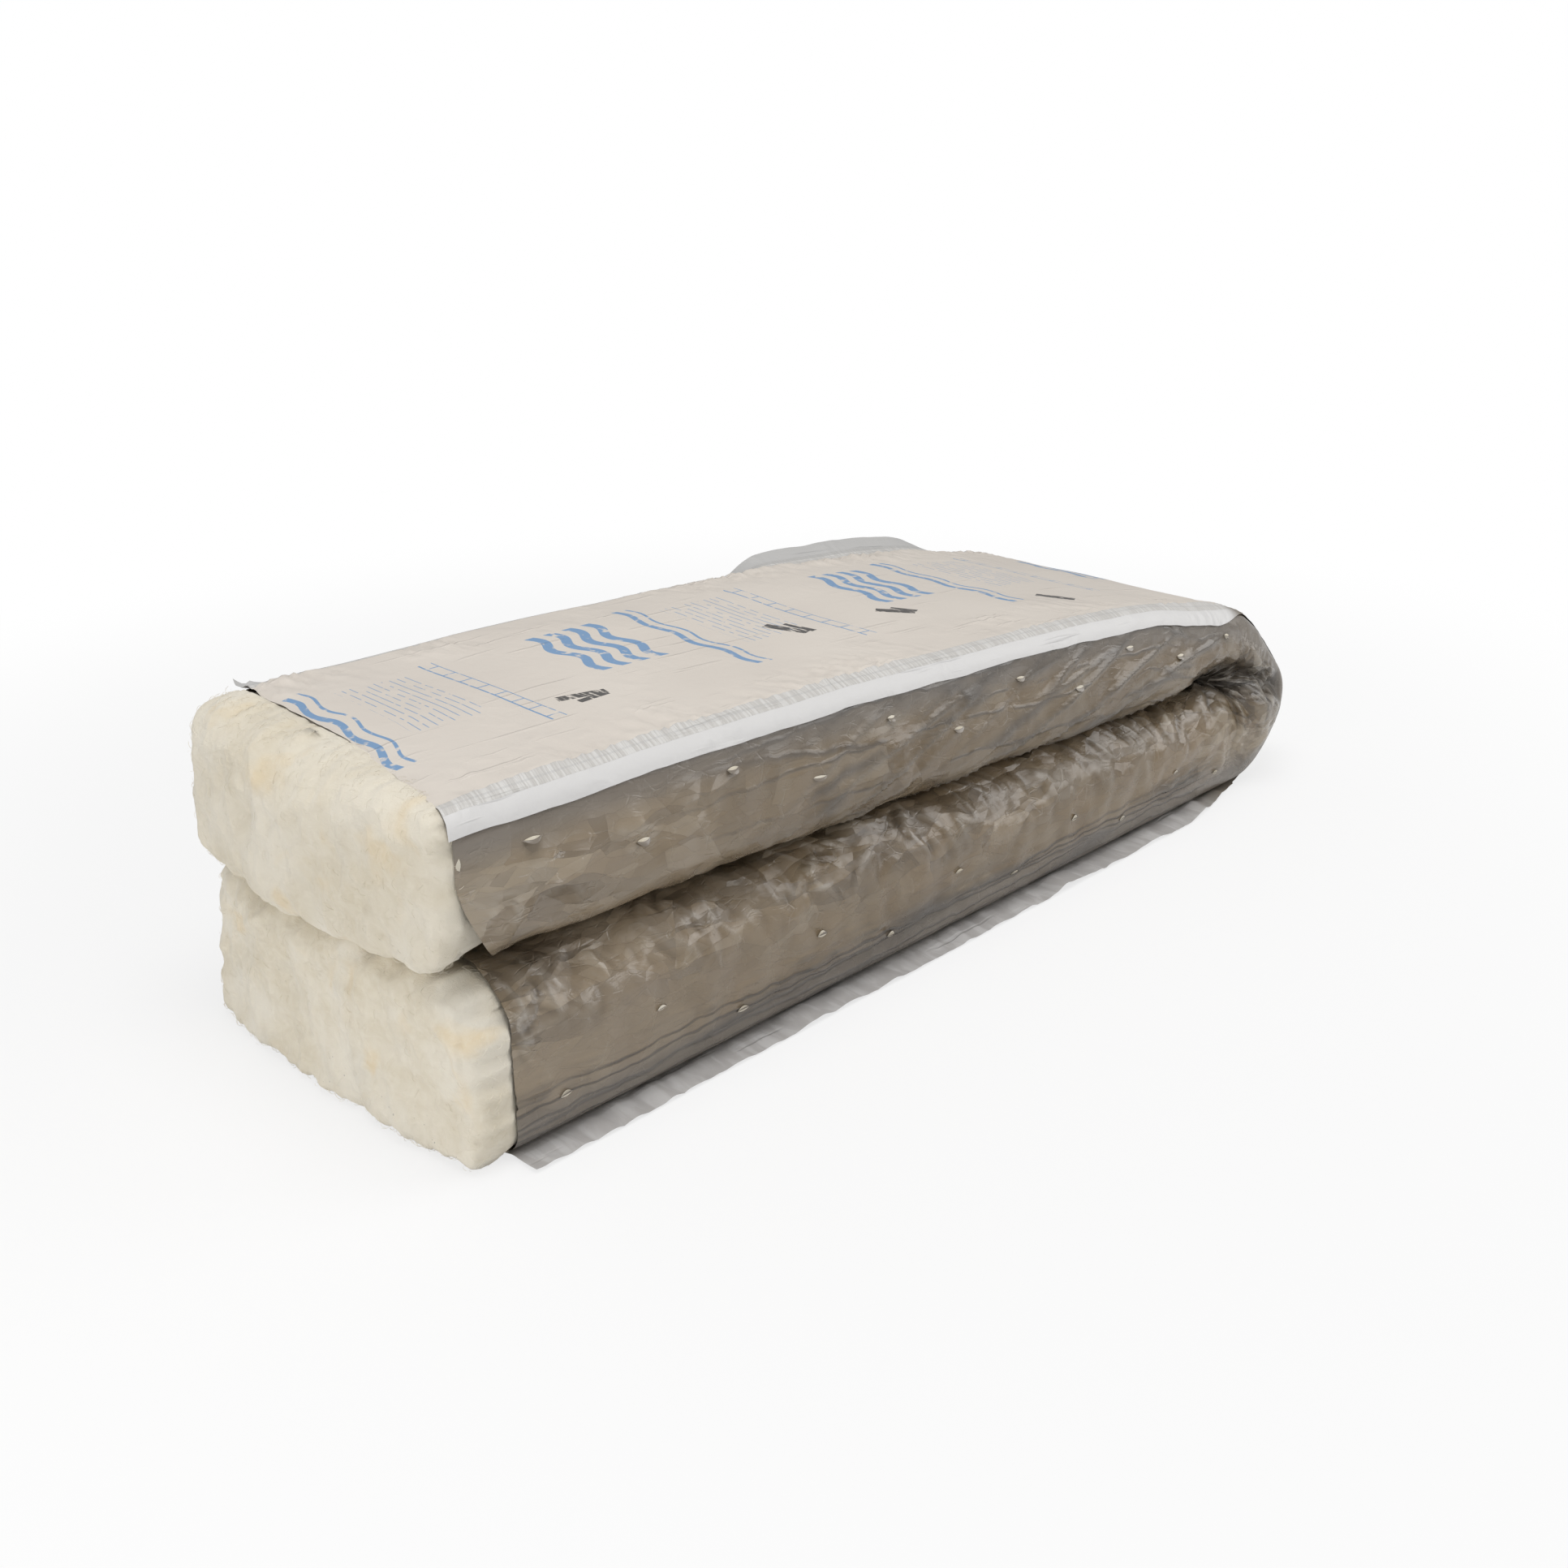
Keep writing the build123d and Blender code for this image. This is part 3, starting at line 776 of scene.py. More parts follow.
def wrap_mesh(material):
    """The whole film as one grid, from seal to seal through the slit, and the seats of its breather slits."""
    s = np.linspace(wrap_from, wrap_to, int((wrap_to - wrap_from) / cell_along))
    rows = wrap_rows()
    on_side = rows[None, :, 0] < 3
    order, row_order = crumple_rows.sum(axis=1), rows.sum(axis=1)
    row_index = np.interp(row_order, order, np.arange(len(order)))
    s_index = (s - wrap_from) / (wrap_to - wrap_from) * (len(crumple_s) - 1)
    near_fold = 0.35 + 0.65 * hump(s, upper_run + 0.45 * fold_run, 0.42 * fold_run, 4)
    crumple = crumpled_side(401)
    halves, maps, tints, seats = [], [], [], []
    for side, seed, moves in ((-1, 101, crumple), (1, 203, crumple[::-1])):
        smooth, t = bare_wrap(s, rows)
        fine = resample(resample(moves, s_index, 0), row_index, 1) * (row_order <= order[-1])[None, :, None]
        fine *= near_fold[:, None, None]
        all_s = np.broadcast_to(s[:, None], t.shape).copy()
        from_cut = np.minimum(all_s - wrap_from, wrap_to - all_s)
        out, doubled_and_shade = film_creases(all_s, t, seed)
        out = out + crushed_facets(all_s, t, seed)
        free = ramp(t, 0.028, 0.022) * on_side
        loose = np.exp(-(all_s - wrap_from) / 0.02 - ((t - 0.125) / 0.03) ** 2) * (all_s < upper_run)
        inward = 0.0042 * ramp(from_cut, 0.008, 0.05)
        pressed = 0.0009 * np.exp(-from_cut / 0.012) * on_side
        lift = np.clip(fine[..., 2] + out * free, -inward, most_lift) + 0.007 * loose - pressed
        along, across_way, away = local_frames(smooth)
        places = smooth + fine[..., :1] * along + fine[..., 1:2] * across_way + lift[..., None] * away
        lead = film_lead(s[:, None] - wrap_from, side * places[..., 1], t)
        places[..., 0] += lead * (s[:, None] < upper_run)
        places[..., 1] *= side
        along, _, away = local_frames(places)
        for slit_s, share in slit_spots:
            row = int(np.argmin(np.abs(row_order - 1 - share)))
            at = round((slit_s - wrap_from) / (s[1] - s[0])), row
            seats.append((places[at], along[at], side * np.sign(away[at][1]) * away[at]))
        halves.append(places)
        maps.append(np.stack([all_s, t + (1 if side > 0 else 0)], axis=-1))
        # Painted shade darkens the tuck's notch and the film's hollows on the lower limb; painted highlights
        # lighten crests where it is crushed.
        notch = 1.3 * tucked(smooth[..., 0], smooth[..., 2], 0.022) * ramp(t, 0.01, 0.03)
        level = lift[:-4, 2:-2] + lift[4:, 2:-2] + lift[2:-2, :-4] + lift[2:-2, 4:]
        hollow = np.pad((lift[2:-2, 2:-2] * 4 + level) / 8 - lift[2:-2, 2:-2], 2) / 0.0007
        doubled_and_shade = np.maximum(doubled_and_shade * 0.8, notch) + 0.5 * np.maximum(hollow, 0) * (all_s > upper_run)
        crush = np.maximum(*crushed(all_s, t, seed))
        crest_glint = np.clip(-hollow, 0, 1) * free * crush
        tints.append(np.stack([lift, np.clip(doubled_and_shade, 0, 1), crush, crest_glint], axis=-1))
    grid, uv, tint = [np.concatenate([near, far[:, -2::-1]], axis=1) for near, far in (halves, maps, tints)]
    names = ("lift", "doubled_and_shade", "crush", "crest_glint")
    shares = {name: tint[..., place].ravel() for place, name in enumerate(names)}
    made = finished_mesh("wrap_film_sheet", grid.reshape(-1, 3), grid_faces(numbered(grid)), material, shares,
                         uv.reshape(-1, 2))
    return made, seats


def film_facets():
    """A shader group: flat facets, as a height that slopes its own way in each and a random shade for each,
    used for painted sheen and shade.
    """
    nodes = new_group("film_facets", "ShaderNodeTree", {"Place": "Vector", "Scale": "Float"},
                      {"Height": "Float", "Shade": "Float"})
    start = nodes.node("NodeGroupInput").outputs
    facet = nodes.cells(start["Place"], start["Scale"], "F1")
    inside = nodes.vector("SUBTRACT", start["Place"], facet["Position"])[0]
    lean = nodes.vector("SUBTRACT", facet["Color"], (0.5, 0.5, 0.5))[0]
    height = nodes.vector("DOT_PRODUCT", inside, lean)["Value"]
    shade = nodes.node("ShaderNodeSeparateColor", {0: facet["Color"]}).outputs[2]
    nodes.node("NodeGroupOutput", {0: height, 1: shade})
    return nodes.tree


def wrap_finish():
    """Smoky film: warm where wool shows through, grey where it stands off, dark in folds from doubled film
    and painted shade, with painted shade on the upper limb and painted sheen, shade and glints on facets and
    creases.
    """
    wool_through, standing_off, misty = (0.220, 0.160, 0.094), (0.193, 0.159, 0.118), (0.248, 0.195, 0.130)
    taut_end, upper_film_painted_shade, facet_painted_sheen = (0.350, 0.283, 0.204), (0.098, 0.079, 0.056), (0.42, 0.355, 0.27)
    crease_doubled_and_shade, low_grey = (0.080, 0.068, 0.057), (0.180, 0.167, 0.154)
    doubled_and_shade_dark, painted_glint = (0.070, 0.062, 0.054), (0.50, 0.455, 0.39)
    material, nodes, skin = new_finish("wrap_film_finish")
    place = nodes.node("ShaderNodeUVMap", uv_map="metres").outputs[0]
    along, down, _ = nodes.parts(place)
    low_down = nodes.sums("FLOORED_MODULO", down, 1.0)
    lift, doubled_and_shade, crush, crest_glint = [nodes.node("ShaderNodeAttribute", attribute_name=key).outputs["Fac"]
                                   for key in ("lift", "doubled_and_shade", "crush", "crest_glint")]
    cloud = nodes.noise(place, 14.0, 4.0, Distortion=1.0)["Fac"]
    sway = nodes.noise(place, 22.0, 2.0)["Color"]
    swayed = nodes.vector("MULTIPLY_ADD", sway, (0.016, 0.016, 0.0), place)[0]

    slant = nodes.mapped(swayed, (0, 0, 0.45), (0.45, 1.0, 1.0))
    lines = nodes.plus(nodes.net(slant, 38.0, 0.05), nodes.net(slant, 95.0, 0.07))
    broken = nodes.between(nodes.noise(place, 48.0, 3.0)["Fac"], 0.50, 0.62)
    lines = nodes.times(lines, broken, nodes.plus(nodes.times(crush, 0.7), 0.5))
    facets = film_facets()
    tilt, shade = 0.0, 0.0
    for scale, turn, share in ((20.0, 0.40, 0.30), (48.0, 0.75, 0.50), (110.0, 0.15, 0.20)):
        inputs = {"Place": nodes.mapped(swayed, (0, 0, turn), (0.33, 1.0, 1.0)), "Scale": scale}
        layer = nodes.node("ShaderNodeGroup", inputs, node_tree=facets).outputs
        tilt = nodes.plus(tilt, layer["Height"])
        shade = nodes.plus(shade, nodes.times(layer["Shade"], share))
    loose = nodes.plus(nodes.times(crush, 0.85), 0.15)
    on_upper = nodes.times(nodes.between(along, upper_run, upper_run - 0.1), nodes.between(along, 0.12, 0.4))
    pull = nodes.net(nodes.mapped(swayed, (0, 0, 0.38), (3.2, 40.0, 1.0)), 1.0, 0.11)
    pull = nodes.times(pull, on_upper, nodes.between(cloud, 0.38, 0.55))
    on_lower = nodes.between(along, lower_from, lower_from + 0.1)
    roll = nodes.net(nodes.mapped(swayed, (0, 0, -0.02), (2.4, 85.0, 1.0)), 1.0, 0.16)
    roll = nodes.times(roll, on_lower, nodes.between(low_down, 0.062, 0.048))

    colour = nodes.blend(nodes.between(lift, -0.001, 0.009), wool_through, standing_off)
    colour = nodes.tint(colour, misty, nodes.between(cloud, 0.4, 0.7), 0.6)
    from_cut = nodes.sums("MINIMUM", along, nodes.sums("SUBTRACT", batt_run, along))
    colour = nodes.tint(colour, taut_end, nodes.between(from_cut, 0.40, 0.06), 0.6)
    # Painted shade: the film over the middle and back of the upper limb is darkened.
    colour = nodes.tint(colour, upper_film_painted_shade, on_upper, 0.22)
    # Painted sheen and painted shade: each crushed facet is made paler or darker by its own random shade.
    colour = nodes.tint(colour, facet_painted_sheen, nodes.times(nodes.between(shade, 0.53, 0.72), loose), 0.68)
    facet_painted_shade = nodes.times(nodes.between(shade, 0.47, 0.30), loose)
    # Dark folds: the dark facets, the pulled creases on the upper limb and the rolled folds by the foot, as
    # doubled film and painted shade in the folds.
    folded = nodes.most(nodes.times(facet_painted_shade, 0.5), nodes.times(pull, 0.65), nodes.times(roll, 0.85))
    colour = nodes.blend(folded, colour, crease_doubled_and_shade)
    colour = nodes.tint(colour, low_grey, nodes.between(low_down, 0.055, 0.025), 0.65)
    # Painted shade with doubled film: the tuck, the hollows and the creases are darkened.
    colour = nodes.tint(colour, doubled_and_shade_dark, doubled_and_shade, 0.75)
    # Painted glints: thin crinkle lines and crushed crests are lightened.
    colour = nodes.blend(nodes.plus(nodes.times(lines, 0.12), nodes.times(crest_glint, 0.45)), colour, painted_glint)

    fine = nodes.noise(slant, 70.0, 4.0, Distortion=1.6)["Fac"]
    relief = nodes.plus(nodes.times(lines, 0.5), nodes.times(fine, 0.8))
    relief = nodes.sums("SUBTRACT", relief, nodes.times(nodes.most(pull, roll), 1.2))
    creased = nodes.bump(relief, 0.5, 0.0014)
    tilted = nodes.bump(nodes.times(tilt, loose), 0.95, 1.0, Normal=creased)
    gloss = nodes.spread(cloud, 0.3, 0.7, 0.21, 0.35)
    nodes.fill(skin, {"Base Color": colour, "Roughness": gloss, "IOR": 1.5, "Coat Weight": 0.25,
                      "Coat Roughness": 0.10, "Normal": tilted})
    return material


def slit_pattern(name, along, across_share, high, material):
    """A small grid as the pattern for one slit, from its three parts."""
    places = joined(along, across_share, high)
    return finished_mesh(name, places.reshape(-1, 3), grid_faces(numbered(places)), material)


def slit_copies(name, seats, pattern, material):
    """One copy of a small pattern at each slit, lying on the film, as one plain mesh."""
    carrier = finished_mesh(name + "_seats", np.array([place for place, _, _ in seats]), [], material)
    turns = [Matrix((along, np.cross(away, along), away)).transposed().to_euler() for _, along, away in seats]
    layer = carrier.data.attributes.new("turn", "FLOAT_VECTOR", "POINT")
    layer.data.foreach_set("vector", np.array(turns, dtype=np.float32).ravel())
    inputs = {"Seats": "Geometry", "Pattern": "Object"}
    nodes = new_group(name, "GeometryNodeTree", inputs, {"Copies": "Geometry"})
    start = nodes.node("NodeGroupInput").outputs
    turn = nodes.node("GeometryNodeInputNamedAttribute", {"Name": "turn"}, data_type="FLOAT_VECTOR")
    turn = nodes.node("FunctionNodeEulerToRotation", {0: turn.outputs[0]}).outputs[0]
    size = nodes.node("FunctionNodeRandomValue", {0: (1.0, 0.9, 0.8), 1: (1.5, 1.9, 1.5), "Seed": 12},
                      data_type="FLOAT_VECTOR").outputs[0]
    thing = nodes.node("GeometryNodeObjectInfo", {"Object": start["Pattern"]}).outputs["Geometry"]
    inputs = {"Points": start["Seats"], "Instance": thing, "Scale": size, "Rotation": turn}
    real_copies(nodes, inputs, material)
    made = grown(carrier, nodes, {"Pattern": pattern}, name)
    for spare in (carrier, pattern):
        bpy.data.objects.remove(spare)
    return made


wrap_material = wrap_finish()
wrap, slit_seats = wrap_mesh(wrap_material)
along_slit, across_slit = np.meshgrid(np.linspace(-1, 1, 9), np.linspace(0, 1, 4), indexing="ij")
swelling = 1 - along_slit ** 2
slit_lip = slit_pattern("slit_lip", 0.0056 * along_slit, -0.0026 * swelling * across_slit,
                        0.0003 + 0.0030 * swelling * np.sqrt(across_slit), wrap_material)
slit_tuft = slit_pattern("slit_tuft", 0.0048 * along_slit, 0.0034 * swelling * (across_slit - 0.75),
                         0.0003 + 0.0014 * swelling * np.sin(np.pi * across_slit), wool_material)
slit_lips = slit_copies("breather_slit_lips", slit_seats, slit_lip, wrap_material)
slit_wool = slit_copies("breather_slit_wool", slit_seats, slit_tuft, wool_material)
for piece, slot in ((wrap, "wrap_film"), (slit_lips, "wrap_film"), (slit_wool, "glass_wool")):
    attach(piece, "root")
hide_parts("wrap_film")

# White facing film
# One sheet of white polyethylene outside the fold: over the top, round the fold and under the lower limb.
# Both long edges are heat sealed to the wrap in a ribbed band and go on as a free flange.
band_half = half_width - outer_round
flange_wide = 0.0357
flange_cells = 14
cells_along = 559
cells_across = 95
facing_turn = math.radians(68)  # how far the flange hangs down along the top
flare_turn = math.radians(26)   # how far the far flange stands up where it flares
corner_turn = math.radians(8)   # how far it hangs at the front corner
facing_clear = 0.0003


def eased(value, low, high):
    """Share from 0 to 1 of a value between two limits, eased."""
    share = ramp(value, low, high - low)
    return share * share * (3 - 2 * share)


def facing_mesh(material):
    """The facing as one grid along and across, with flanges that hang, flare, turn out and lie flat."""
    p = np.linspace(0, line_p[-1], cells_along + 1)
    q = np.concatenate([np.linspace(-flange_wide, 0, flange_cells + 1)[:-1] - band_half,
                        np.linspace(-band_half, band_half, cells_across + 1),
                        np.linspace(0, flange_wide, flange_cells + 1)[1:] + band_half])
    x, z, turn = [np.interp(p, line_p, line)[:, None] for line in (line_x, line_z, line_turn)]
    place_p, place_q = np.meshgrid(p, q, indexing="ij")
    spot = joined(place_p, place_q, 0.0)
    spot_along = spot * np.array([1, 0, 0])
    on_top = 1 - eased(place_p, 0.9, 1.2)
    on_floor = eased(place_p, bends[3] - 0.02, bends[3] + 0.06)
    over = ramp(place_p, bends[1], bends[2] - bends[1])
    round_nose = eased(place_p, bends[1] + 0.02, bends[1] + 0.12)
    laid = eased(place_p, bends[3] - 0.05, bends[3] + 0.15)
    at_front = 1 - eased(place_p, 0.0, 0.075)

    # The flange is narrower round the nose and wider on the floor. It hangs by an angle, and bends to it.
    side = np.sign(place_q)
    out = np.maximum(np.abs(place_q) - band_half, 0)
    out = out * (1 - 0.68 * round_nose * (1 - laid) + 0.28 * laid + 0.06 * lumps(spot_along, 0.12, 300, 2))
    hang = facing_turn * (1 - over) ** 2 * (1 + 2 * over)
    flare = eased(place_p, 0.53, 0.68) * (1 - eased(place_p, 0.86, 1.06)) * (place_q > 0)
    corner = at_front * (place_q > 0)
    hang = hang * (1 - flare) - flare_turn * flare
    hang = hang * (1 - corner) + corner_turn * corner
    hang = hang * (1 + 0.12 * lumps(spot_along + side[..., None], 0.13, 301, 2) * on_top)
    hang = hang + corner * 0.9 * lumps(spot, 0.022, 309, 2)
    radius = outer_round + films_depth
    angle = np.sign(hang) * np.minimum(out / radius, np.abs(hang))
    past = np.maximum(out - radius * np.abs(hang), 0)
    y = side * (np.minimum(np.abs(place_q), band_half) + radius * np.sin(np.abs(angle)) + past * np.cos(hang))
    down = np.sign(hang) * radius * (1 - np.cos(angle)) + past * np.sin(hang)

    # Pleats run in from the seal, the nose is rumpled, and the flange on the floor is crimped.
    edge = eased(np.abs(place_q), 0.085, 0.16) * (1 - eased(out, 0.0, 0.010))
    pleat = soft_noise(joined(place_p / 0.013 + place_q / 0.05, place_q / 0.055, 0.0), 305)
    gathers = np.clip(0.4 + 1.6 * lumps(spot, 0.12, 306, 2), 0, 1)
    pleated = edge * gathers * np.maximum(1 - 3 * np.abs(pleat), -0.2)
    wave = on_top * (0.0024 * lumps(spot, 0.17, 303, 2) + 0.0042 * pleated)
    rumple = 0.4 - np.abs(lumps(spot * np.array([1.0, 0.35, 1.0]), 0.045, 312, 2))
    nose_wave = 0.0035 * rumple + 0.0030 * lumps(spot, 0.09, 313, 2) + 0.0035 * pleated
    wave += round_nose * (1 - on_floor) * nose_wave
    swell = eased(place_p, 0.15, 0.35) * (1 - eased(place_p, 0.65, 0.85))
    wave += on_top * 0.005 * hump(place_q, 0.11, 0.07) * swell
    crimp = np.abs(lumps(spot * np.array([1.0, 0.4, 1.0]), 0.055, 307, 3))
    wave = wave - on_floor * eased(out, 0.002, 0.02) * (0.0015 + 0.010 * crimp)
    wave += 0.0012 * (1 - on_floor) * eased(out, 0.008, 0.02) * lumps(spot, 0.03, 308, 2)
    sink = on_top * (0.0024 + 0.0008 * eased(place_q, -0.10, 0.06))
    sink = sink * (1 - eased(place_p, 0.0, 0.030)) * (1 - eased(out, 0, 0.01))
    lift = films_depth * 0.9 - down + wave - sink + 0.0006 * eased(out, 0.018, 0.03) * on_top
    narrow = width_at(np.where(place_p < bends[3], x - wool_start, batt_run)) / half_width
    ragged = 0.0015 * (1 - eased(place_p, 0.0, 0.05)) * lumps(spot, 0.02, 311, 2)
    along = film_lead(place_p, place_q) + ragged
    grid = joined(x + along - lift * np.sin(turn), y * narrow, z + lift * np.cos(turn))
    grid[..., 2] = np.maximum(grid[..., 2], facing_clear)
    return finished_mesh("facing_film_sheet", grid.reshape(-1, 3), grid_faces(numbered(grid)), material,
                         uv=spot[..., :2].reshape(-1, 2))


stroke_sizes = ("Turn", "Length", "Width", "Wave height", "Wave length")


def printed_stroke():
    """A shader group: 1 inside one printed stroke, straight or waved, and 0 elsewhere."""
    inputs = {"Place": "Vector", "From": "Vector", **{size: "Float" for size in stroke_sizes}}
    nodes = new_group("printed_stroke", "ShaderNodeTree", inputs, {"Ink": "Float"})
    start = nodes.node("NodeGroupInput").outputs
    moved = nodes.vector("SUBTRACT", start["Place"], start["From"])[0]
    turned = nodes.node("ShaderNodeVectorRotate", {"Vector": moved, "Angle": start["Turn"]},
                        rotation_type="Z_AXIS", invert=True)
    along, aside, _ = nodes.parts(turned.outputs[0])
    pace = nodes.sums("DIVIDE", 2 * math.pi, start["Wave length"])
    phase = nodes.times(along, pace)
    wave = nodes.times(nodes.sums("SINE", phase), start["Wave height"])
    slope = nodes.times(nodes.sums("COSINE", phase), start["Wave height"], pace)
    steep = nodes.sums("SQRT", nodes.plus(nodes.times(slope, slope), 1.0))
    off = nodes.sums("DIVIDE", nodes.gap(aside, wave), steep)
    ink = nodes.sums("LESS_THAN", off, nodes.times(start["Width"], 0.5))
    nodes.node("NodeGroupOutput", {0: nodes.times(ink, nodes.within(along, 0.0, start["Length"]))})
    return nodes.tree


def inked(nodes, group, place, strokes):
    """1 inside any of some strokes, each given as where it starts and its sizes, with its turn in degrees."""
    ink = 0.0
    for start, turn, *sizes in strokes:
        inputs = dict(zip(stroke_sizes, (math.radians(turn), *sizes)))
        inputs.update({"Place": place, "From": (*start, 0.0)})
        ink = nodes.most(ink, nodes.node("ShaderNodeGroup", inputs, node_tree=group).outputs[0])
    return ink


def facing_print(nodes, group, place):
    """The blue print, as a share of ink: waves, a ruler and rows of dashes, repeated along the film."""
    repeat_length, row_pitch, dash_length, inch = 0.375, 0.0085, 0.006, 0.0254
    ruler, ruler_edge = 0.155, 0.169
    p, q, _ = nodes.parts(place)
    repeat = nodes.sums("FLOORED_MODULO", nodes.plus(p, 0.004), repeat_length)
    repeated = nodes.node("ShaderNodeCombineXYZ", {0: repeat, 1: q}).outputs[0]
    strokes = [((0.013, -0.085), 90, 0.205, 0.0070, 0.0034, 0.0683),
               ((0.027, -0.085), 90, 0.205, 0.0032, 0.0034, 0.0683),
               ((ruler, -0.085), 90, 0.200, 0.0020, 0.0, 1.0),
               ((ruler_edge, -0.085), 90, 0.200, 0.0012, 0.0, 1.0)]
    for start in (0.272, 0.294, 0.316, 0.338):
        strokes.append(((start, -0.012), 90, 0.115, 0.0100, 0.0052, 0.0575))
    waves = inked(nodes, group, repeated, strokes)
    row = nodes.sums("LESS_THAN", nodes.sums("FLOORED_MODULO", repeat, row_pitch), 0.0013)
    row = nodes.times(row, nodes.within(repeat, 0.052, 0.132), nodes.within(q, -0.030, 0.098))
    dash = nodes.vector("FLOOR", nodes.vector("DIVIDE", repeated, (row_pitch, dash_length, 1.0))[0])[0]
    dash = nodes.node("ShaderNodeTexWhiteNoise", {"Vector": dash}).outputs["Value"]
    row = nodes.times(row, nodes.sums("GREATER_THAN", dash, 0.22), 0.8)
    tick = nodes.sums("LESS_THAN", nodes.sums("FLOORED_MODULO", q, inch), 0.0016)
    tick = nodes.times(tick, nodes.within(repeat, ruler, ruler_edge))
    tick = nodes.times(tick, nodes.sums("LESS_THAN", nodes.gap(q, 0.015), 0.100))
    worn = nodes.between(nodes.noise(place, 90.0, 3.0)["Fac"], 0.32, 0.46)
    return nodes.times(nodes.most(waves, row, tick), worn)


def marker_bars(nodes, group, place):
    """Black marker bars, as a share of ink with dry streaks in it."""
    bars = inked(nodes, group, place, [
        ((0.182, -0.048), -14, 0.046, 0.0120, 0.0, 1.0), ((0.192, -0.066), 4, 0.032, 0.0080, 0.0, 1.0),
        ((0.472, 0.000), -70, 0.046, 0.0120, 0.0, 1.0), ((0.490, -0.008), -78, 0.036, 0.0080, 0.0, 1.0),
        ((0.604, -0.026), -50, 0.040, 0.0120, 0.0, 1.0), ((0.622, -0.030), -62, 0.028, 0.0075, 0.0, 1.0),
        ((0.804, -0.078), -60, 0.042, 0.0120, 0.0, 1.0)])
    streaks = nodes.noise(nodes.mapped(place, (0, 0, 0.7), (260.0, 60.0, 1.0)), 1.0, 4.0)["Fac"]
    return nodes.times(bars, nodes.between(streaks, 0.36, 0.48))


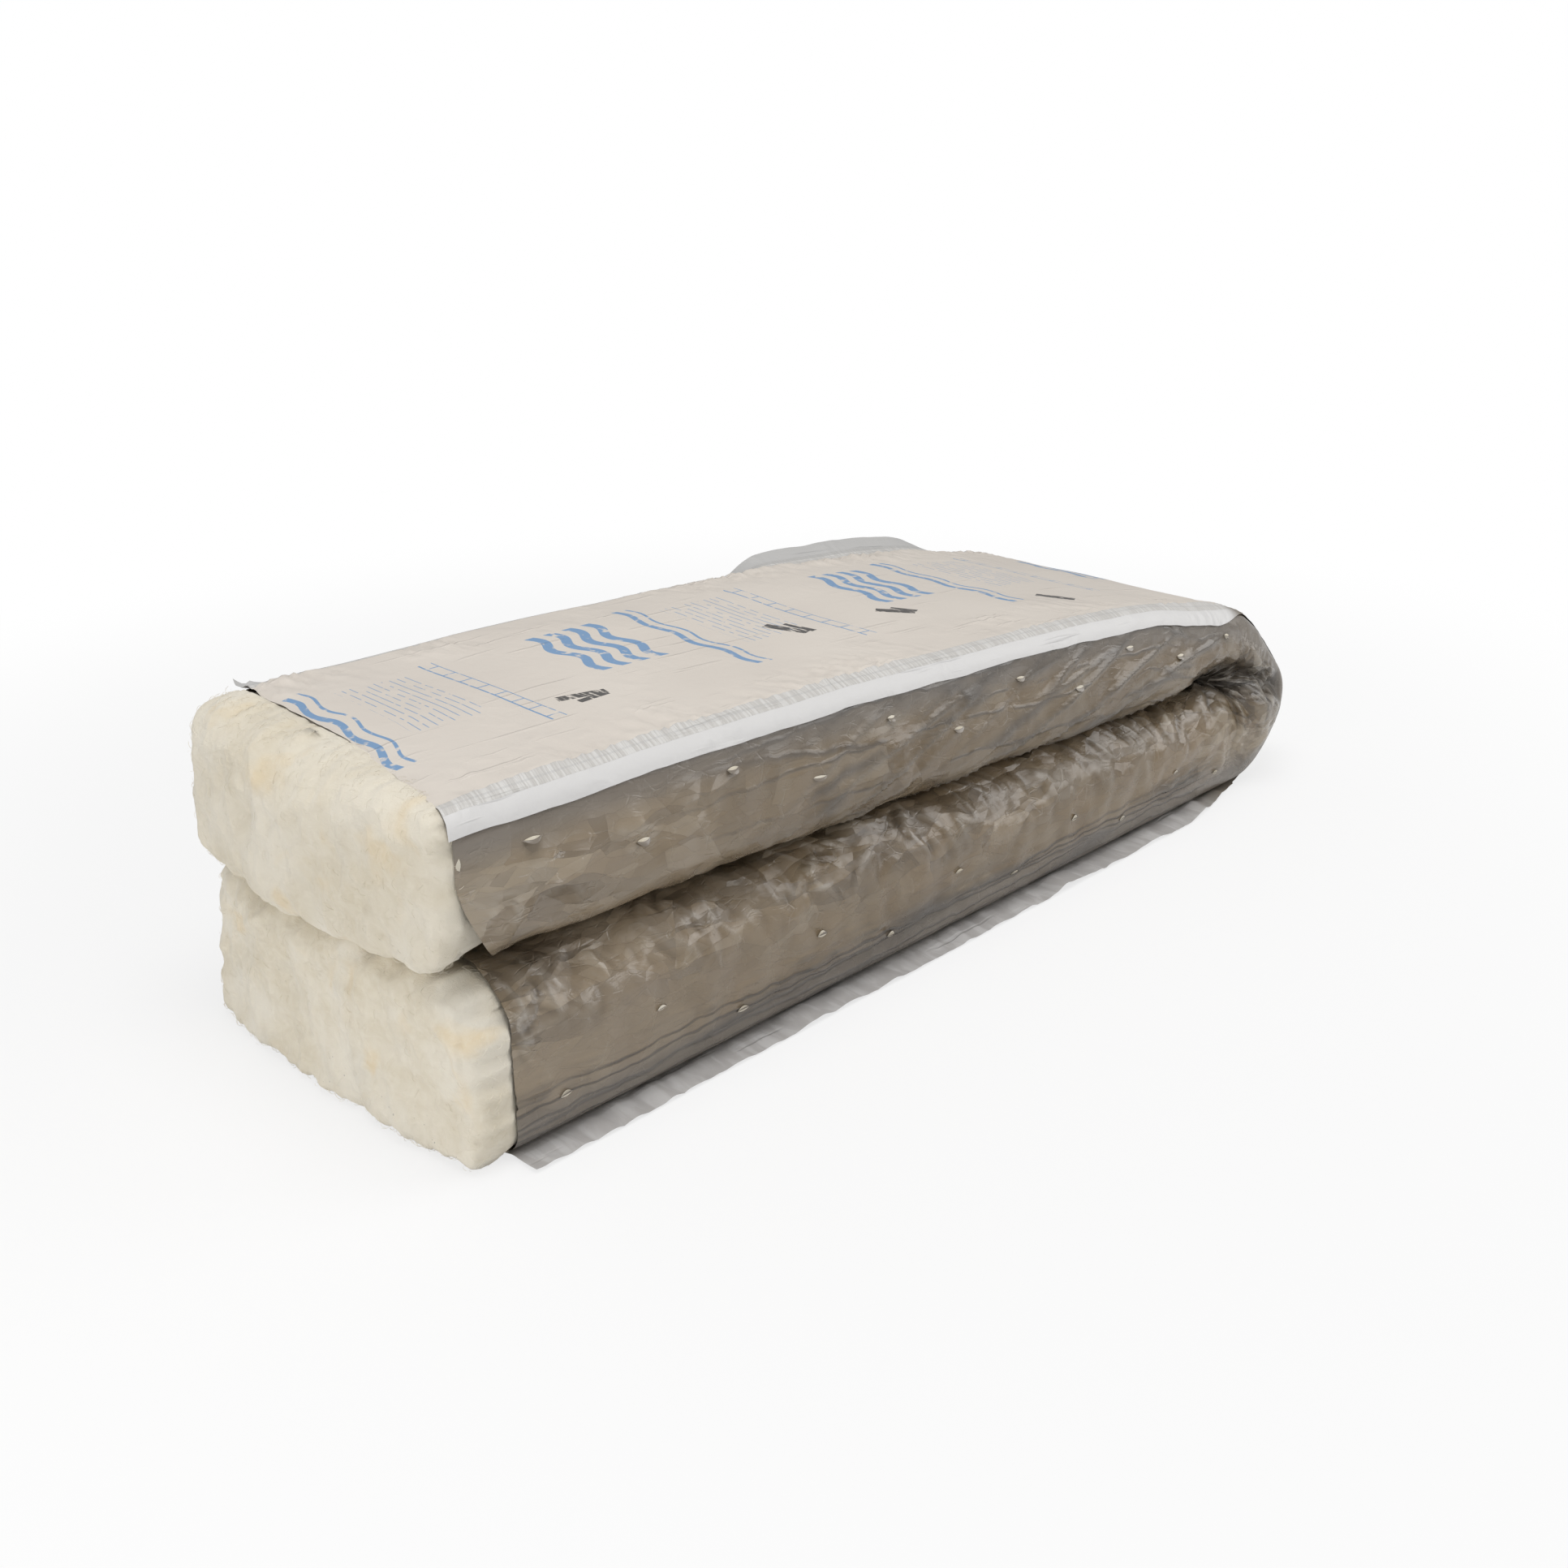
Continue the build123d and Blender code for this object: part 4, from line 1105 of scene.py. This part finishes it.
def facing_finish():
    """Warm white satin film with a blue print, marker bars, a ribbed seal and a bright flange,
    with painted shade on the far flange, in the floor flange's wrinkles and on its inner side.
    """
    warm_white, pale_white = (0.66, 0.60, 0.535), (0.72, 0.665, 0.60)
    blue, black = (0.105, 0.275, 0.52), (0.028, 0.028, 0.030)
    seal_grey, rib_white, seal_line_grey = (0.50, 0.495, 0.48), (0.74, 0.73, 0.71), (0.40, 0.40, 0.40)
    flange_white, far_flange_painted_shade, floor_flange_painted_shade = (0.68, 0.67, 0.66), (0.43, 0.425, 0.415), (0.40, 0.38, 0.365)
    inside_painted_shade, nose_smoke = (0.50, 0.485, 0.475), (0.21, 0.182, 0.148)
    seal_from, seal_line, seal_to, flange_from = 0.1665, 0.1735, 0.181, 0.176
    material, nodes, skin = new_finish("facing_film_finish")
    place = nodes.node("ShaderNodeUVMap", uv_map="metres").outputs[0]
    p, q, _ = nodes.parts(place)
    aside = nodes.gap(q)
    cloud = nodes.noise(place, 6.0, 3.0)["Fac"]
    group = printed_stroke()
    colour = nodes.blend(cloud, warm_white, pale_white)
    colour = nodes.tint(colour, blue, facing_print(nodes, group, place), 0.85)
    colour = nodes.tint(colour, black, marker_bars(nodes, group, place), 0.9)

    band = nodes.within(aside, seal_from, seal_to)
    rib_noise = nodes.noise(nodes.mapped(place, (0, 0, 0), (420.0, 25.0, 1.0)), 1.0, 2.0)["Fac"]
    colour = nodes.tint(colour, seal_grey, band, 0.75)
    colour = nodes.tint(colour, rib_white, nodes.times(band, nodes.between(rib_noise, 0.42, 0.62)), 0.55)
    line = nodes.sums("LESS_THAN", nodes.gap(aside, seal_line), 0.0010)
    colour = nodes.tint(colour, seal_line_grey, line, 0.25)
    flange = nodes.sums("GREATER_THAN", aside, seal_to)
    colour = nodes.blend(flange, colour, flange_white)
    # Painted shade: the far flange along the top is greyed.
    far_flange = nodes.times(nodes.sums("GREATER_THAN", q, flange_from), nodes.sums("LESS_THAN", p, 1.2))
    colour = nodes.tint(colour, far_flange_painted_shade, far_flange, 0.75)
    # Painted shade in the wrinkles of the flange on the floor, as grey streaks.
    low_flange = nodes.times(nodes.between(p, 1.30, 1.42), nodes.sums("GREATER_THAN", aside, flange_from))
    streak_place = nodes.mapped(place, (0, 0, 0.5), (60.0, 22.0, 1.0))
    wrinkle_shade = nodes.between(nodes.noise(streak_place, 1.0, 4.0, Distortion=1.0)["Fac"], 0.66, 0.40)
    colour = nodes.tint(colour, floor_flange_painted_shade, low_flange, wrinkle_shade)
    # Painted shade: the inner side of the facing is greyed.
    inside = nodes.node("ShaderNodeNewGeometry").outputs["Backfacing"]
    colour = nodes.tint(colour, inside_painted_shade, inside, 0.6)
    at_nose = nodes.times(nodes.between(p, 1.03, 1.07), nodes.between(p, 1.50, 1.40))
    colour = nodes.tint(colour, nose_smoke, at_nose, nodes.between(aside, 0.160, 0.172))

    cell_place = nodes.mapped(place, (0, 0, 0.6), (1.0, 0.45, 1.0))
    cells = nodes.cells(cell_place, 75.0, "F1")["Distance"]
    where = nodes.between(nodes.noise(place, 11.0, 3.0)["Fac"], 0.50, 0.66)
    near_edge = nodes.plus(nodes.times(nodes.between(aside, 0.07, 0.15), 0.85), 0.5)
    crinkle = nodes.noise(place, 45.0, 4.0, Distortion=1.5)["Fac"]
    pull = nodes.noise(nodes.mapped(place, (0, 0, 0.35), (7.0, 80.0, 1.0)), 1.0, 2.0)["Fac"]
    relief = nodes.plus(nodes.times(crinkle, 0.35), nodes.times(cells, where, near_edge))
    relief = nodes.plus(relief, nodes.times(band, rib_noise, 0.6))
    relief = nodes.plus(relief, nodes.times(nodes.between(pull, 0.62, 0.72), 0.6))
    gloss = nodes.most(nodes.spread(cloud, 0.3, 0.7, 0.36, 0.50), nodes.times(flange, 0.5))
    nodes.fill(skin, {"Base Color": colour, "Roughness": gloss, "Normal": nodes.bump(relief, 0.7, 0.0024)})
    return material


facing = facing_mesh(facing_finish())
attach(facing, "root")
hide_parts("facing_film")

# Stage
# A plain pale floor that fades to white away from the batt, a white room, three soft lamps and the camera
# of the photograph.
floor_half = 30
floor_grey = (0.85, 0.85, 0.85, 1)
white = (1, 1, 1, 1)
room_light = 0.36
photo_pixels = 1932
focal_pixels = 2100
sensor_wide = 36
camera_place = (-1.2025, -1.094, 0.755)
camera_down = 22.06
camera_turn = -46.05


def seen_directly(nodes):
    """1 for rays that come from the camera, straight or through clear things, else 0."""
    rays = nodes.node("ShaderNodeLightPath").outputs
    return nodes.most(rays["Is Camera Ray"], rays["Is Transmission Ray"])


floor_mesh = bpy.data.meshes.new("floor")
floor_corners = [(-floor_half, -floor_half, 0), (floor_half, -floor_half, 0), (floor_half, floor_half, 0),
                 (-floor_half, floor_half, 0)]
floor_mesh.from_pydata(floor_corners, [], [(0, 1, 2, 3)])
floor = bpy.data.objects.new("floor", floor_mesh)
bpy.context.scene.collection.objects.link(floor)
floor_material = bpy.data.materials.new("floor_white")
floor_material.use_nodes = True
floor_material.node_tree.nodes.clear()
floor_nodes = Wiring(floor_material.node_tree)
floor_place = floor_nodes.node("ShaderNodeTexCoord").outputs["Object"]
from_middle = floor_nodes.vector("LENGTH", floor_place)["Value"]
fade = floor_nodes.node("ShaderNodeMapRange", {0: from_middle, 1: 0.5, 2: 1.6, 3: 0.72, 4: 1.0},
                        interpolation_type="SMOOTHSTEP").outputs[0]
matt = floor_nodes.node("ShaderNodeBsdfDiffuse", {"Color": floor_grey}).outputs[0]
glow = floor_nodes.node("ShaderNodeEmission", {"Color": white, "Strength": 1.0}).outputs[0]
glowing = floor_nodes.times(seen_directly(floor_nodes), fade)
floor_mix = floor_nodes.node("ShaderNodeMixShader", {0: glowing, 1: matt, 2: glow}).outputs[0]
floor_nodes.node("ShaderNodeOutputMaterial", {0: floor_mix})
floor_mesh.materials.append(floor_material)

world = bpy.data.worlds.new("studio")
bpy.context.scene.world = world
world.use_nodes = True
world.node_tree.nodes.clear()
world_nodes = Wiring(world.node_tree)
lit = world_nodes.node("ShaderNodeBackground", {"Color": white, "Strength": room_light}).outputs[0]
backdrop = world_nodes.node("ShaderNodeBackground", {"Color": white, "Strength": 1.0}).outputs[0]
seen = seen_directly(world_nodes)
room = world_nodes.node("ShaderNodeMixShader", {0: seen, 1: lit, 2: backdrop}).outputs[0]
world_nodes.node("ShaderNodeOutputWorld", {0: room})


def soft_lamp(name, place, aim, size, power):
    """A square soft lamp turned towards a point."""
    lamp = bpy.data.lights.new(name, "AREA")
    lamp.size = size
    lamp.energy = power
    holder = bpy.data.objects.new(name, lamp)
    bpy.context.scene.collection.objects.link(holder)
    holder.location = place
    way = np.array(aim) - np.array(place)
    holder.rotation_euler = (math.atan2(math.hypot(way[0], way[1]), -way[2]), 0, math.atan2(-way[0], way[1]))


soft_lamp("overhead_lamp", (-0.4, -0.4, 2.4), (0, 0, 0.15), 1.4, 29)
soft_lamp("side_lamp", (1.75, -1.35, 1.15), (0.1, 0, 0.15), 1.5, 17)
soft_lamp("front_lamp", (-2.4, -0.3, 0.7), (0, 0, 0.15), 1.2, 14)

camera_data = bpy.data.cameras.new("camera")
camera_data.sensor_width = sensor_wide
camera_data.lens = sensor_wide * focal_pixels / photo_pixels
camera = bpy.data.objects.new("camera", camera_data)
bpy.context.scene.collection.objects.link(camera)
camera.location = camera_place
camera.rotation_euler = (math.radians(90 - camera_down), 0, math.radians(camera_turn))
bpy.context.scene.camera = camera
bpy.context.scene.view_settings.view_transform = "Standard"
